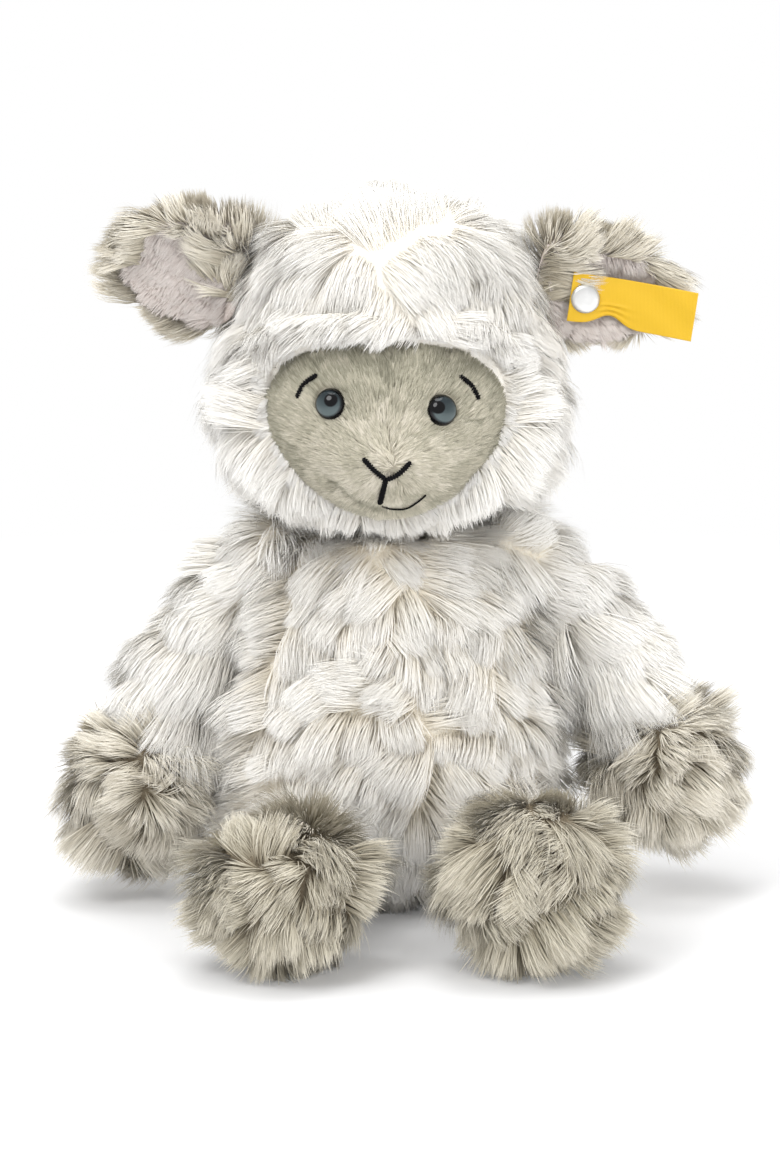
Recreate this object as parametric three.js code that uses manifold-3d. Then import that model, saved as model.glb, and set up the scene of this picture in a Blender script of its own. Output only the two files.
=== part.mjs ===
// Seated plush lamb: sewn skins over loose stuffing, with limbs that bend at their seams.
// Millimetres, +Z up. The face looks along -Y, the toy's own left is +X.
// The origin is the middle of the flat seat, on the surface that the toy sits on.
import * as THREE from "three";
import { mergeVertices } from "three/addons/utils/BufferGeometryUtils.js";
import Module from "manifold-3d";

const wasm = await Module();
wasm.setup();

// Fits and cloth
const gap = 0.3; // air between two pieces that touch
const cutOverrun = 6; // how far a cutter passes what it cuts
const plushThick = 5.5; // long-pile cloth with the lower part of its pile
const velourThick = 2.4; // short-pile cloth of the face
const liningThick = 1.8; // short-pile cloth in the ears
const bedDepth = 0.5; // how deep a soft form is pressed flat where it rests

// Torso
const torsoHalfWidth = 45;
const torsoHeight = 100;
const torsoDepthShare = 0.86;
const torsoOutlineShares = [
  [0.56, 0], [0.86, 0.1], [0.985, 0.27], [1, 0.42], [0.95, 0.63], [0.86, 0.8], [0.74, 0.93], [0.58, 1],
];
const torsoSides = 20;
const torsoRings = 8;
const torsoCoreSides = 14;

// Pellet bag that weights the seat
const pelletHalfWidth = 21;
const pelletHalfDepth = 13;
const pelletHeight = 18;
const pelletClear = 13.7; // from the torso's widest back in to the bag
const pelletBack = torsoHalfWidth * torsoDepthShare - pelletClear - pelletHalfDepth;

// Neck: a domed plug that the head turns and nods on
const neckRise = 3; // the pivot above the torso's top
const neckPivotHeight = torsoHeight + neckRise;
const neckDomeRadius = 19;
const neckPlugRadius = 13.5;
const neckPlugDepth = 11;
const neckHoleRadius = 17;
const neckStringRadius = 0.8; // cord that gathers the neck opening
const headNodLimit = THREE.MathUtils.degToRad(15);

// Head
const headHalfWidth = 47.5;
const headHeight = 88.5;
const headDrop = 1.5; // the head's lowest point below the neck pivot
const headForward = 6;
const headDepthShare = 0.9;
const headOutlineShares = [
  [0, 0], [0.6, 0.06], [0.92, 0.19], [1, 0.34], [0.955, 0.52], [0.82, 0.73], [0.53, 0.92], [0, 1],
];
const headSides = 22;
const headRings = 9;
const headCoreSides = 14;

// Face: a domed velour panel with a muzzle, set in the opening of the hood
const faceHalfWidth = 33;
const faceHalfHeight = 24;
const faceHeight = 31.5; // centre above the neck pivot
const faceDomeRadii = [36, 30, 29];
const faceDomeForward = 21;
const muzzleRadii = [19, 18, 13];
const muzzleForward = 36;
const muzzleHeight = 19; // centre above the neck pivot
const panelBackForward = 25; // the panel's sewn edge, in front of the neck pivot
const faceSides = 20;
const faceCoreSides = 14;

// Eyes: domed buttons with a shank through the face and a locking washer behind it
const eyeRadius = 4.1;
const eyeDomeHeight = 3.1;
const eyeShankRadius = 1.2;
const eyeShankLength = 7.4;
const eyeSpread = 14;
const eyeHeight = 37.5; // above the neck pivot
const washerRadius = 4.6;
const washerThick = 1;
const eyeSides = 14;

// Embroidery: nose, mouth and brows, as places on the face seen from the front
const threadRadius = 0.62;
const fineThreadRadius = 0.4;
const threadSides = 6; // an even count
const noseHalfWidth = 6;
const noseTop = 24.6;
const noseMiddle = 20.2;
const noseBottom = 13.4;
const mouthHalfWidth = 9;
const mouthCorner = 14.4;
const mouthMiddle = 11.2;
const mouthPointShares = [0, 0.35, 0.7, 1];
const browOuter = [23.2, 39.4];
const browMiddle = [21.6, 43.4];
const browInner = [18, 45.8];

// Ears: a leaf of long-pile cloth, hollow in front, with a velour lining
const earLength = 42;
const earHalfHeight = 14.5;
const earThickShare = 0.46;
const earOutlineShares = [[0, 0], [0.5, 0.06], [0.78, 0.26], [1, 0.58], [0.76, 0.88], [0, 1]];
const earSides = 14;
const earRings = 6;
const earCoreSides = 10;
const earRim = 3; // left around the hollow
const earHollowOut = 3.5; // the hollow's shift towards the tip
const earHollowForward = 4.2;
const earSpread = 37; // root from the middle of the head
const earRootHeight = 63; // above the neck pivot
const earRootForward = 4;
const earFlapLimit = THREE.MathUtils.degToRad(15);
const earTilts = { left: THREE.MathUtils.degToRad(7), right: THREE.MathUtils.degToRad(13) };

// Stud and ribbon tag on the left ear
const studOut = 14.6; // from the ear's root
const studDrop = 2;
const studHeadRadius = 3.75;
const studHeadThick = 1.1;
const studShaftRadius = 0.9;
const studBackThick = 0.8;
const tagLength = 33.5;
const tagWidth = 13;
const tagThick = 0.5;
const tagTail = 4; // short end of the ribbon past the stud
const tagFlat = 6; // stays flat past the stud before it curls
const tagCurl = 6.5; // how far the free end stands forward
const tagSeat = 2.4; // the ribbon's back, in front of the ear's middle plane
const tagTilt = THREE.MathUtils.degToRad(1.5);
const tagSwing = THREE.MathUtils.degToRad(10);

// Arms: one bent form each, a white sleeve that ends in a wider paw
const shoulderInset = 12; // from the torso's widest half-width in to the shoulder
const shoulderSpread = torsoHalfWidth - shoulderInset;
const shoulderBack = 2;
const shoulderDrop = 10; // below the torso's top
const shoulderHeight = torsoHeight - shoulderDrop;
const shoulderStubRadius = 11.5;
const shoulderStubInside = 4; // the stub's start, towards the middle from the shoulder
const armFormLength = 106;
const armHalfWidth = 14;
const wristShare = 0.64;
const sleeveOutlineShares = [[0, 0], [0.72, 0.02], [0.9, 0.1], [0.95, 0.34], [1, 0.5], [1.04, wristShare]];
const pawOutlineShares = [[1.04, wristShare], [1.44, 0.72], [1.56, 0.81], [1.4, 0.91], [0.9, 0.975], [0, 1]];
const armRootInside = 8; // the form's start, towards the middle from the shoulder
const armRootRise = 9;
const armClearShare = 0.3; // height down to which the arm's inner face follows the torso
const armPoses = {
  left: { elbowOut: 42, elbowDrop: 20, tipOut: 44, tipDrop: 79, tipForward: 10 },
  right: { elbowOut: 37, elbowDrop: 27, tipOut: 35.5, tipDrop: 84.5, tipForward: 10 },
};
const armSides = 14;
const armCoreSides = 8;

// Legs: a thigh ball and shank, with a wide foot whose sole faces forward
const hipUpLimit = THREE.MathUtils.degToRad(10);
const hipSpread = 25;
const hipForward = 20;
const thighRadius = 18.5;
const shankRadius = 15;
const legLength = 60; // hip to the middle of the foot
const kneeShare = 0.45;
const ankleNeckShare = 0.93; // what is left of the shank's width in the foot
const footPoses = {
  left: { splay: THREE.MathUtils.degToRad(11), halfWidth: 24.5, halfDepth: 20, halfHeight: 25 },
  right: { splay: THREE.MathUtils.degToRad(1.5), halfWidth: 24, halfDepth: 20, halfHeight: 22.5 },
};
const legSides = 14;
const footSides = 16;
const legCoreSides = 10;

// Tail
const tailLength = 24;
const tailRadius = 7.5;
const tailHeight = 27;
const tailSlope = THREE.MathUtils.degToRad(-32);
const tailOutlineShares = [[0, 0], [0.75, 0.08], [0.95, 0.35], [1, 0.62], [0.7, 0.9], [0, 1]];
const tailWagLimit = THREE.MathUtils.degToRad(20);
const tailSides = 12;
const tailRings = 6;

// Cloth and trim colours
const finishes = {
  white_plush: { color: 0xf3efe9, roughness: 0.95, metalness: 0 },
  taupe_plush: { color: 0xb0a597, roughness: 0.95, metalness: 0 },
  face_velour: { color: 0xb5aca0, roughness: 0.9, metalness: 0 },
  ear_velour: { color: 0xe0d2cc, roughness: 0.9, metalness: 0 },
  stuffing: { color: 0xf6f4f0, roughness: 1, metalness: 0 },
  pellet_cloth: { color: 0xd9d4c8, roughness: 0.9, metalness: 0 },
  eye_plastic: { color: 0x2b363c, roughness: 0.12, metalness: 0 },
  washer_plastic: { color: 0xe8e8e4, roughness: 0.5, metalness: 0 },
  black_thread: { color: 0x141414, roughness: 0.7, metalness: 0 },
  white_thread: { color: 0xe9e5dc, roughness: 0.8, metalness: 0 },
  yellow_ribbon: { color: 0xf2c315, roughness: 0.6, metalness: 0 },
  stud_metal: { color: 0xd8d8d6, roughness: 0.25, metalness: 1 },
};
const materials = Object.fromEntries(
  Object.entries(finishes).map(([name, finish]) => [name, new THREE.MeshStandardMaterial(finish)]),
);

// The toy's own sides
const sides = { left: 1, right: -1 };

// Solids
// A closed geometry as a solid. Faces that shrink to a line at a pole are dropped.
function solid(geometry) {
  const bare = geometry.clone();
  bare.deleteAttribute("normal");
  bare.deleteAttribute("uv");
  const merged = mergeVertices(bare);
  const corners = [];
  for (let i = 0; i < merged.index.count; i += 3) {
    const face = [merged.index.getX(i), merged.index.getX(i + 1), merged.index.getX(i + 2)];
    if (new Set(face).size === face.length) corners.push(...face);
  }
  return new wasm.Manifold(
    new wasm.Mesh({
      numProp: 3,
      vertProperties: merged.attributes.position.array,
      triVerts: new Uint32Array(corners),
    }),
  );
}

function joined(solids) {
  return solids.reduce((whole, piece) => whole.add(piece));
}

function cutBy(body, cutters) {
  return cutters.reduce((rest, cutter) => rest.subtract(cutter), body);
}

function meshOf(name, body, finish) {
  const { vertProperties, triVerts, numProp } = body.getMesh();
  const geometry = new THREE.BufferGeometry();
  geometry.setAttribute("position", new THREE.BufferAttribute(vertProperties, numProp));
  geometry.setIndex(new THREE.BufferAttribute(triVerts, 1));
  geometry.computeVertexNormals();
  const mesh = new THREE.Mesh(geometry, materials[finish].clone());
  mesh.name = name;
  return mesh;
}

function moved(geometry, matrix) {
  return geometry.clone().applyMatrix4(matrix);
}

function shifted(geometry, x, y, z) {
  return geometry.clone().translate(x, y, z);
}

// The turn about an axis through the origin
function turned(axis, angle) {
  return new THREE.Matrix4().makeRotationAxis(axis, angle);
}

const yAxis = new THREE.Vector3(0, 1, 0);
const zAxis = new THREE.Vector3(0, 0, 1);

// Evenly spaced angles from one limit to the other
function anglesBetween(low, high, steps) {
  return Array.from({ length: steps + 1 }, (_, i) => low + ((high - low) * i) / steps);
}

// Outlines, as points of radius and height that run upwards
function smoothOutline(shares, halfWidth, height, rings) {
  const knots = shares.map(([width, rise]) => new THREE.Vector2(width * halfWidth, rise * height));
  const points = new THREE.SplineCurve(knots).getPoints(rings);
  return points.map((point) => new THREE.Vector2(Math.max(point.x, 0), point.y));
}

// An outline with its ends brought to the axis
function closedOutline(points) {
  const ends = [points[0], points[points.length - 1]];
  const [bottom, top] = ends.map((end) => (end.x > 0 ? [new THREE.Vector2(0, end.y)] : []));
  return [...bottom, ...points, ...top];
}

// An outline moved out along its own normals, or in where the growth is negative
function grownOutline(points, growth) {
  const mirror = ({ x, y }) => new THREE.Vector2(-x, y);
  const last = points.length - 1;
  return points.map((point, i) => {
    const before = i > 0 ? points[i - 1] : mirror(points[1]);
    const after = i < last ? points[i + 1] : mirror(points[last - 1]);
    const into = point.clone().sub(before).normalize();
    const away = after.clone().sub(point).normalize();
    const normals = [into, away].map((way) => new THREE.Vector2(way.y, -way.x));
    const normal = normals[0].clone().add(normals[1]).normalize();
    const reach = growth / Math.max(normal.dot(normals[0]), Math.SQRT1_2);
    const grown = point.clone().addScaledVector(normal, reach);
    return new THREE.Vector2(point.x > 0 ? Math.max(grown.x, 0) : 0, grown.y);
  });
}

// A body of revolution about Z
function revolved(points, sides, depthShare = 1) {
  const geometry = new THREE.LatheGeometry(points, sides);
  geometry.rotateX(Math.PI / 2);
  geometry.scale(1, depthShare, 1);
  return geometry;
}

function roundBar(radius, low, high, sides) {
  const points = [[0, low], [radius, low], [radius, high], [0, high]];
  return revolved(points.map(([x, y]) => new THREE.Vector2(x, y)), sides);
}

function ellipsoid([x, y, z], sides, growth = 0) {
  const geometry = new THREE.SphereGeometry(1, sides, sides / 2);
  geometry.rotateX(Math.PI / 2);
  return geometry.scale(x + growth, y + growth, z + growth);
}

function ball(radius, sides) {
  return ellipsoid([radius, radius, radius], sides);
}

// A ball whose flat faces all stay outside a radius, for a socket
function roomyBall(radius, sides) {
  return ball(radius / Math.cos(Math.PI / sides) ** 2, sides);
}

// A form of revolution laid along a curve, which it passes from 0 to its length
function laidAlong(geometry, curve, length) {
  const laid = geometry.clone();
  const places = laid.attributes.position;
  for (let i = 0; i < places.count; i += 1) {
    const share = places.getZ(i) / length;
    const along = curve.getTangent(THREE.MathUtils.clamp(share, 0, 1));
    const across = new THREE.Vector3().crossVectors(yAxis, along).normalize();
    const over = new THREE.Vector3().crossVectors(along, across);
    const place = curve.getPoint(share);
    place.addScaledVector(across, places.getX(i));
    place.addScaledVector(over, places.getY(i));
    places.setXYZ(i, place.x, place.y, place.z);
  }
  return laid;
}

// A round thread through points, with its ends closed
function thread(points, radius, stepsPerSpan) {
  const circle = new THREE.Shape();
  circle.absarc(0, 0, radius, 0, 2 * Math.PI);
  const path = new THREE.CatmullRomCurve3(points);
  const steps = stepsPerSpan * (points.length - 1);
  return new THREE.ExtrudeGeometry(circle, {
    extrudePath: path,
    steps,
    curveSegments: threadSides / 2,
    bevelEnabled: false,
  });
}

const floorCut = solid(
  new THREE.BoxGeometry(6 * torsoHalfWidth, 6 * torsoHalfWidth, cutOverrun)
    .translate(0, 0, -cutOverrun / 2),
);

// Torso
// The outline starts a little below the floor, where the soft seat is pressed flat.
function torsoOutline() {
  const points = smoothOutline(torsoOutlineShares, torsoHalfWidth, torsoHeight + bedDepth, torsoRings);
  return closedOutline(points.map((point) => new THREE.Vector2(point.x, point.y - bedDepth)));
}

function torsoForm(growth, sides = torsoSides) {
  return revolved(grownOutline(torsoOutline(), growth), sides, torsoDepthShare);
}

// The torso's half-width at a height, between the outline's points
function torsoHalfWidthAt(height) {
  const points = torsoOutline();
  const above = points.findIndex((point) => point.y > height);
  const [low, high] = [points[above - 1], points[above]];
  const share = (height - low.y) / (high.y - low.y);
  return low.x + (high.x - low.x) * share;
}

// How far out an arm's inner face has to stay at each distance from the shoulder's axis
function shoulderFace(reach, growth) {
  const step = shoulderStubRadius / 2;
  const points = [];
  let widest = 0;
  for (let away = 0; away < reach + step / 2; away += step) {
    widest = Math.max(widest, torsoHalfWidthAt(shoulderHeight - away));
    points.push(new THREE.Vector2(away, widest - shoulderSpread + growth));
  }
  return points;
}

// A solid of revolution about the shoulder's axis, from a distance inside it out to the arm's inner face
function shoulderPlug(side, reach, inside, growth) {
  const face = shoulderFace(reach, growth);
  const rim = face[face.length - 1].clone().setY(-inside);
  const centre = new THREE.Vector2(0, -inside);
  const geometry = revolved([centre, rim, ...face.reverse()], 2 * armSides);
  return geometry.rotateY((side * Math.PI) / 2);
}

function shoulderPlace(side) {
  return new THREE.Vector3(side * shoulderSpread, shoulderBack, shoulderHeight);
}

function hipPlace(side) {
  return new THREE.Vector3(side * hipSpread, -hipForward, thighRadius - bedDepth);
}

// How far a foot's middle stands above the hip
function footRise({ halfHeight }) {
  return halfHeight - thighRadius;
}

function legRise(pose) {
  return Math.atan2(footRise(pose), legLength);
}

// The room that a leg needs in the torso: its ball, and the quarter that the shank sweeps forward and down
function hipRoom(side, name) {
  const rise = legRise(footPoses[name]);
  const room = solid(roomyBall(thighRadius + gap, footSides));
  const reach = torsoHalfWidth;
  const halfWidth = shankRadius + gap;
  const wheel = solid(roundBar(reach, -halfWidth, halfWidth, legSides).rotateY(Math.PI / 2));
  const quarter = new THREE.BoxGeometry(4 * reach, 2 * reach, 2 * reach);
  quarter.translate(0, halfWidth - reach, halfWidth - reach);
  quarter.rotateX(-rise - hipUpLimit);
  const sweep = wheel.intersect(solid(quarter));
  const place = new THREE.Matrix4().makeRotationZ(side * footPoses[name].splay);
  place.setPosition(hipPlace(side));
  return joined([room, sweep]).transform(place.elements);
}

// The neck plug's seat in the torso
function neckRoom(radius) {
  return solid(roundBar(radius, torsoHeight - neckPlugDepth - gap, torsoHeight + cutOverrun, torsoCoreSides));
}

function pelletForm(growth, tail = 0) {
  const dome = ellipsoid([pelletHalfWidth, pelletHalfDepth, pelletHeight / 2], torsoCoreSides, growth);
  const floor = plushThick + gap;
  const bag = solid(shifted(dome, 0, pelletBack, floor + pelletHeight / 2));
  if (tail === 0) return bag;
  const post = roundBar(1, -tail, floor + pelletHeight / 2, torsoCoreSides);
  post.scale(pelletHalfWidth + growth, pelletHalfDepth + growth, 1);
  return bag.add(solid(shifted(post, 0, pelletBack, 0)));
}

function buildTorso() {
  const group = new THREE.Group();
  const stubs = Object.values(sides).map((side) => {
    const place = shoulderPlace(side);
    const stub = shoulderPlug(side, shoulderStubRadius, shoulderStubInside, 0);
    return solid(stub.translate(place.x, place.y, place.z));
  });
  const legRooms = Object.entries(sides).map(([name, side]) => hipRoom(side, name));
  const outer = joined([solid(torsoForm(0)), ...stubs]);
  const inner = solid(torsoForm(-plushThick, torsoCoreSides));
  const skin = cutBy(outer, [inner, neckRoom(neckHoleRadius), ...legRooms, floorCut]);
  group.add(meshOf("torso_skin", skin, "white_plush"));
  const fill = solid(torsoForm(-plushThick - gap, torsoCoreSides));
  const stuffing = cutBy(fill, [pelletForm(gap, cutOverrun), neckRoom(neckHoleRadius), ...legRooms]);
  group.add(meshOf("torso_stuffing", stuffing, "stuffing"));
  group.add(meshOf("pellet_bag", pelletForm(0), "pellet_cloth"));
  const stringRing = (neckPlugRadius + neckHoleRadius) / 2;
  const string = new THREE.TorusGeometry(stringRing, neckStringRadius, threadSides, torsoSides);
  string.translate(0, 0, torsoHeight - plushThick / 2);
  group.add(meshOf("neck_drawstring", solid(string), "white_thread"));
  return group;
}

// Neck: a domed skin on the torso's top, over a core that reaches down through the neck opening
function buildNeck() {
  const group = new THREE.Group();
  group.position.set(0, 0, neckPivotHeight);
  const seat = torsoHeight + gap - neckPivotHeight;
  const dome = solid(ball(neckDomeRadius, torsoCoreSides));
  const underDome = solid(roundBar(2 * neckDomeRadius, -2 * neckDomeRadius, seat, torsoCoreSides));
  const bore = solid(roundBar(neckPlugRadius + gap, -2 * neckDomeRadius, seat + plushThick, torsoCoreSides));
  group.add(meshOf("neck_skin", cutBy(dome, [underDome, bore]), "white_plush"));
  const plug = roundBar(neckPlugRadius, seat - neckPlugDepth, seat + plushThick - gap, torsoCoreSides);
  group.add(meshOf("neck_stuffing", solid(plug), "stuffing"));
  return group;
}

// Head, in a frame whose origin is the neck pivot
function headForm(growth, sides = headSides) {
  const outline = smoothOutline(headOutlineShares, headHalfWidth, headHeight, headRings);
  outline[0].x = 0;
  outline[headRings].x = 0;
  const geometry = revolved(grownOutline(outline, growth), sides, headDepthShare);
  return geometry.translate(0, -headForward, -headDrop);
}

// The torso's top, tipped outwards by the nod all round, so that the head clears it however it nods and turns
function nodRoom() {
  const points = grownOutline(torsoOutline(), gap).slice(torsoRings / 2);
  const tipped = points.map(({ x, y }) => {
    const away = new THREE.Vector2(x, y - neckPivotHeight);
    return away.rotateAround(new THREE.Vector2(0, 0), headNodLimit);
  });
  tipped.pop();
  const bottom = tipped[0].clone().setX(0);
  const top = tipped[tipped.length - 1].clone().setX(0);
  return solid(revolved([bottom, ...tipped, top], headSides));
}

function faceForm(growth, sides = faceSides) {
  const dome = ellipsoid(faceDomeRadii, sides, growth);
  const muzzle = ellipsoid(muzzleRadii, sides, growth);
  return joined([
    solid(shifted(dome, 0, -faceDomeForward, faceHeight)),
    solid(shifted(muzzle, 0, -muzzleForward, muzzleHeight)),
  ]);
}

// The opening's outline as a bar along Y, from the panel's sewn edge forward
function faceOpening(growth, back) {
  const reach = muzzleForward + 2 * muzzleRadii[1];
  const bar = roundBar(1, back, reach, faceSides);
  bar.rotateX(Math.PI / 2);
  bar.scale(faceHalfWidth + growth, 1, faceHalfHeight + growth);
  return solid(shifted(bar, 0, 0, faceHeight));
}

// How far forward the face stands at a place seen from the front, to a depth under its surface
function faceForwardAt(x, z, growth = 0) {
  const swells = [
    [faceDomeRadii, faceDomeForward, faceHeight],
    [muzzleRadii, muzzleForward, muzzleHeight],
  ];
  const reaches = swells.map(([radii, forward, height]) => {
    const [a, b, c] = radii.map((radius) => radius + growth);
    const left = 1 - (x / a) ** 2 - ((z - height) / c) ** 2;
    return left > 0 ? forward + b * Math.sqrt(left) : 0;
  });
  return Math.max(...reaches);
}

function facePoint([x, z], growth) {
  return new THREE.Vector3(x, -faceForwardAt(x, z, growth), z);
}

// Eyes stand square to the dome of the face
function eyePlace(side) {
  const [a, b, c] = faceDomeRadii;
  const place = facePoint([side * eyeSpread, eyeHeight], 0);
  const normal = new THREE.Vector3(
    place.x / a ** 2,
    (place.y + faceDomeForward) / b ** 2,
    (place.z - faceHeight) / c ** 2,
  ).normalize();
  const turn = new THREE.Quaternion().setFromUnitVectors(zAxis, normal);
  return new THREE.Matrix4().compose(place, turn, new THREE.Vector3(1, 1, 1));
}

// The eye's back lies just in front of the face, whose curve falls away under its rim
function eyeForm() {
  const dome = new THREE.EllipseCurve(0, gap, eyeRadius, eyeDomeHeight, 0, Math.PI / 2).getPoints(4);
  const shank = [[0, -eyeShankLength], [eyeShankRadius, -eyeShankLength], [eyeShankRadius, gap]];
  dome[dome.length - 1].x = 0;
  return revolved([...shank.map(([x, y]) => new THREE.Vector2(x, y)), ...dome], eyeSides);
}

const washerDepth = velourThick + 2 * gap;

function washerForm() {
  const inner = eyeShankRadius + gap;
  const [front, back] = [-washerDepth, -washerDepth - washerThick];
  const outline = [[inner, back], [washerRadius, back], [washerRadius, front], [inner, front], [inner, back]];
  return revolved(outline.map(([x, y]) => new THREE.Vector2(x, y)), eyeSides);
}

// Room for the shank through the face and for the washer behind it
function eyeRoom(side) {
  const hole = roundBar(eyeShankRadius + gap, -eyeShankLength - gap, cutOverrun, eyeSides);
  const back = -washerDepth - washerThick - gap;
  const pocket = roundBar(washerRadius + gap, back, -velourThick, eyeSides);
  return { hole: solid(moved(hole, eyePlace(side))), pocket: solid(moved(pocket, eyePlace(side))) };
}

function stitched(places, radius) {
  const points = places.map((place) => facePoint(place, radius + gap));
  return solid(thread(points, radius, 2));
}

function noseStitching() {
  const bar = [[-noseHalfWidth, noseTop], [-noseHalfWidth / 2, (noseTop + noseMiddle) / 2], [0, noseMiddle]];
  const otherBar = bar.map(([x, z]) => [-x, z]);
  const drop = [[0, noseMiddle], [0, (noseMiddle + noseBottom) / 2], [0, noseBottom]];
  return joined([bar, otherBar, drop].map((places) => stitched(places, threadRadius)));
}

// The mouth is one fine line that rises on the toy's left
function mouthStitching() {
  const places = mouthPointShares.map((share) => [
    mouthHalfWidth * share,
    mouthMiddle + (mouthCorner - mouthMiddle) * share ** 2,
  ]);
  return stitched(places, fineThreadRadius);
}

// Ears, each in a frame at its root, with the leaf along X
function earForm(side, inset, out, forward, sides = earSides) {
  const points = smoothOutline(earOutlineShares, earHalfHeight, earLength, earRings);
  points[earRings].x = 0;
  const geometry = revolved(grownOutline(points, -inset), sides, earThickShare);
  geometry.rotateY((side * Math.PI) / 2);
  return solid(geometry.translate(side * out, -forward, 0));
}

function earGroup(side, name) {
  const group = new THREE.Group();
  group.position.set(side * earSpread, -earRootForward, earRootHeight);
  group.rotation.y = earTilts[name];
  group.updateMatrix();
  return group;
}

// What a flapping ear must not touch: the head, seen from the ear at each angle
function headFromEar(group) {
  const intoEar = group.matrix.clone().invert();
  const head = moved(headForm(gap), intoEar);
  const angles = anglesBetween(-earFlapLimit, earFlapLimit, 4);
  return angles.map((angle) => solid(moved(head, turned(yAxis, angle))));
}

// A short bar along Y in the left ear, round the stud's axis
function studBar(radius, front, back, sides = eyeSides) {
  return solid(shifted(roundBar(radius, front, back, sides).rotateX(-Math.PI / 2), studOut, 0, -studDrop));
}

const tagFront = -tagSeat - tagThick;

// Ribbon seen from above, in a frame on the stud's axis at the ribbon's front
function ribbonForm(thick, width) {
  const free = tagLength - tagTail;
  const start = new THREE.Vector2(tagFlat, 0);
  const bend = new THREE.Vector2((free + tagFlat) / 2, 0);
  const curl = new THREE.QuadraticBezierCurve(start, bend, new THREE.Vector2(free, -tagCurl));
  const front = [new THREE.Vector2(-tagTail, 0), ...curl.getPoints(6)];
  const back = front.map((point) => new THREE.Vector2(point.x, point.y + thick)).reverse();
  const band = new THREE.ExtrudeGeometry(new THREE.Shape([...front, ...back]), {
    depth: width,
    steps: 1,
    bevelEnabled: false,
  });
  return band.translate(0, 0, -width / 2);
}

function tagPlace(angle) {
  const place = turned(yAxis, angle);
  place.setPosition(studOut, tagFront, -studDrop);
  return place;
}

// Room for the ribbon at each angle that it swings to
function tagRoom() {
  const room = ribbonForm(tagThick + 2 * gap, tagWidth + 2 * gap).translate(0, -gap, 0);
  const angles = anglesBetween(tagTilt - tagSwing, tagTilt + tagSwing, 6);
  return angles.map((angle) => solid(moved(room, tagPlace(angle))));
}

function studForm() {
  const dome = new THREE.EllipseCurve(0, 0, studHeadRadius, studHeadThick, 0, Math.PI / 2).getPoints(4);
  dome[dome.length - 1].x = 0;
  const earBack = earHalfHeight * earThickShare;
  const shaftEnd = -(tagThick + tagSeat + earBack + 3 * gap + studBackThick);
  const shaft = [[0, shaftEnd], [studShaftRadius, shaftEnd], [studShaftRadius, 0]];
  return revolved([...shaft.map(([x, y]) => new THREE.Vector2(x, y)), ...dome], eyeSides);
}

function addStudAndTag(group) {
  const back = earHalfHeight * earThickShare;
  const hole = studBar(studShaftRadius + gap, -back - cutOverrun, back + cutOverrun);
  const stud = shifted(studForm().rotateX(Math.PI / 2), studOut, tagFront - gap, -studDrop);
  group.add(meshOf("ear_button", solid(stud), "stud_metal"));
  const seat = back - studBackThick;
  const clinch = studBar(studHeadRadius, seat + gap, seat + gap + studBackThick);
  group.add(meshOf("ear_button_back", clinch.subtract(hole), "stud_metal"));
  const tag = new THREE.Group();
  tag.position.set(studOut, tagFront, -studDrop);
  tag.rotation.y = tagTilt;
  const tagHole = roundBar(studShaftRadius + gap, -cutOverrun, cutOverrun, eyeSides).rotateX(Math.PI / 2);
  const ribbon = solid(ribbonForm(tagThick, tagWidth)).subtract(solid(tagHole));
  tag.add(meshOf("ear_tag", ribbon, "yellow_ribbon"));
  group.add(tag);
  const rear = studBar(studHeadRadius + gap, seat, back + cutOverrun);
  const front = studBar(studHeadRadius + gap, tagFront - back - cutOverrun, tagFront);
  return [hole, rear, front, ...tagRoom()];
}

function buildEar(side, name) {
  const group = earGroup(side, name);
  const rooms = headFromEar(group);
  if (name === "left") rooms.push(...addStudAndTag(group));
  const hollow = earForm(side, earRim, earHollowOut, earHollowForward);
  const leaf = earForm(side, 0, 0, 0);
  group.add(meshOf(`${name}_ear_outer`, cutBy(leaf, [hollow, ...rooms]), "taupe_plush"));
  const bowl = earForm(side, earRim + gap, earHollowOut, earHollowForward);
  const inset = earRim + gap + liningThick;
  const dish = earForm(side, inset, earHollowOut, earHollowForward + liningThick / 2, earCoreSides);
  const lining = cutBy(bowl.intersect(leaf), [dish, ...rooms]);
  group.add(meshOf(`${name}_ear_lining`, lining, "ear_velour"));
  return group;
}

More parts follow.
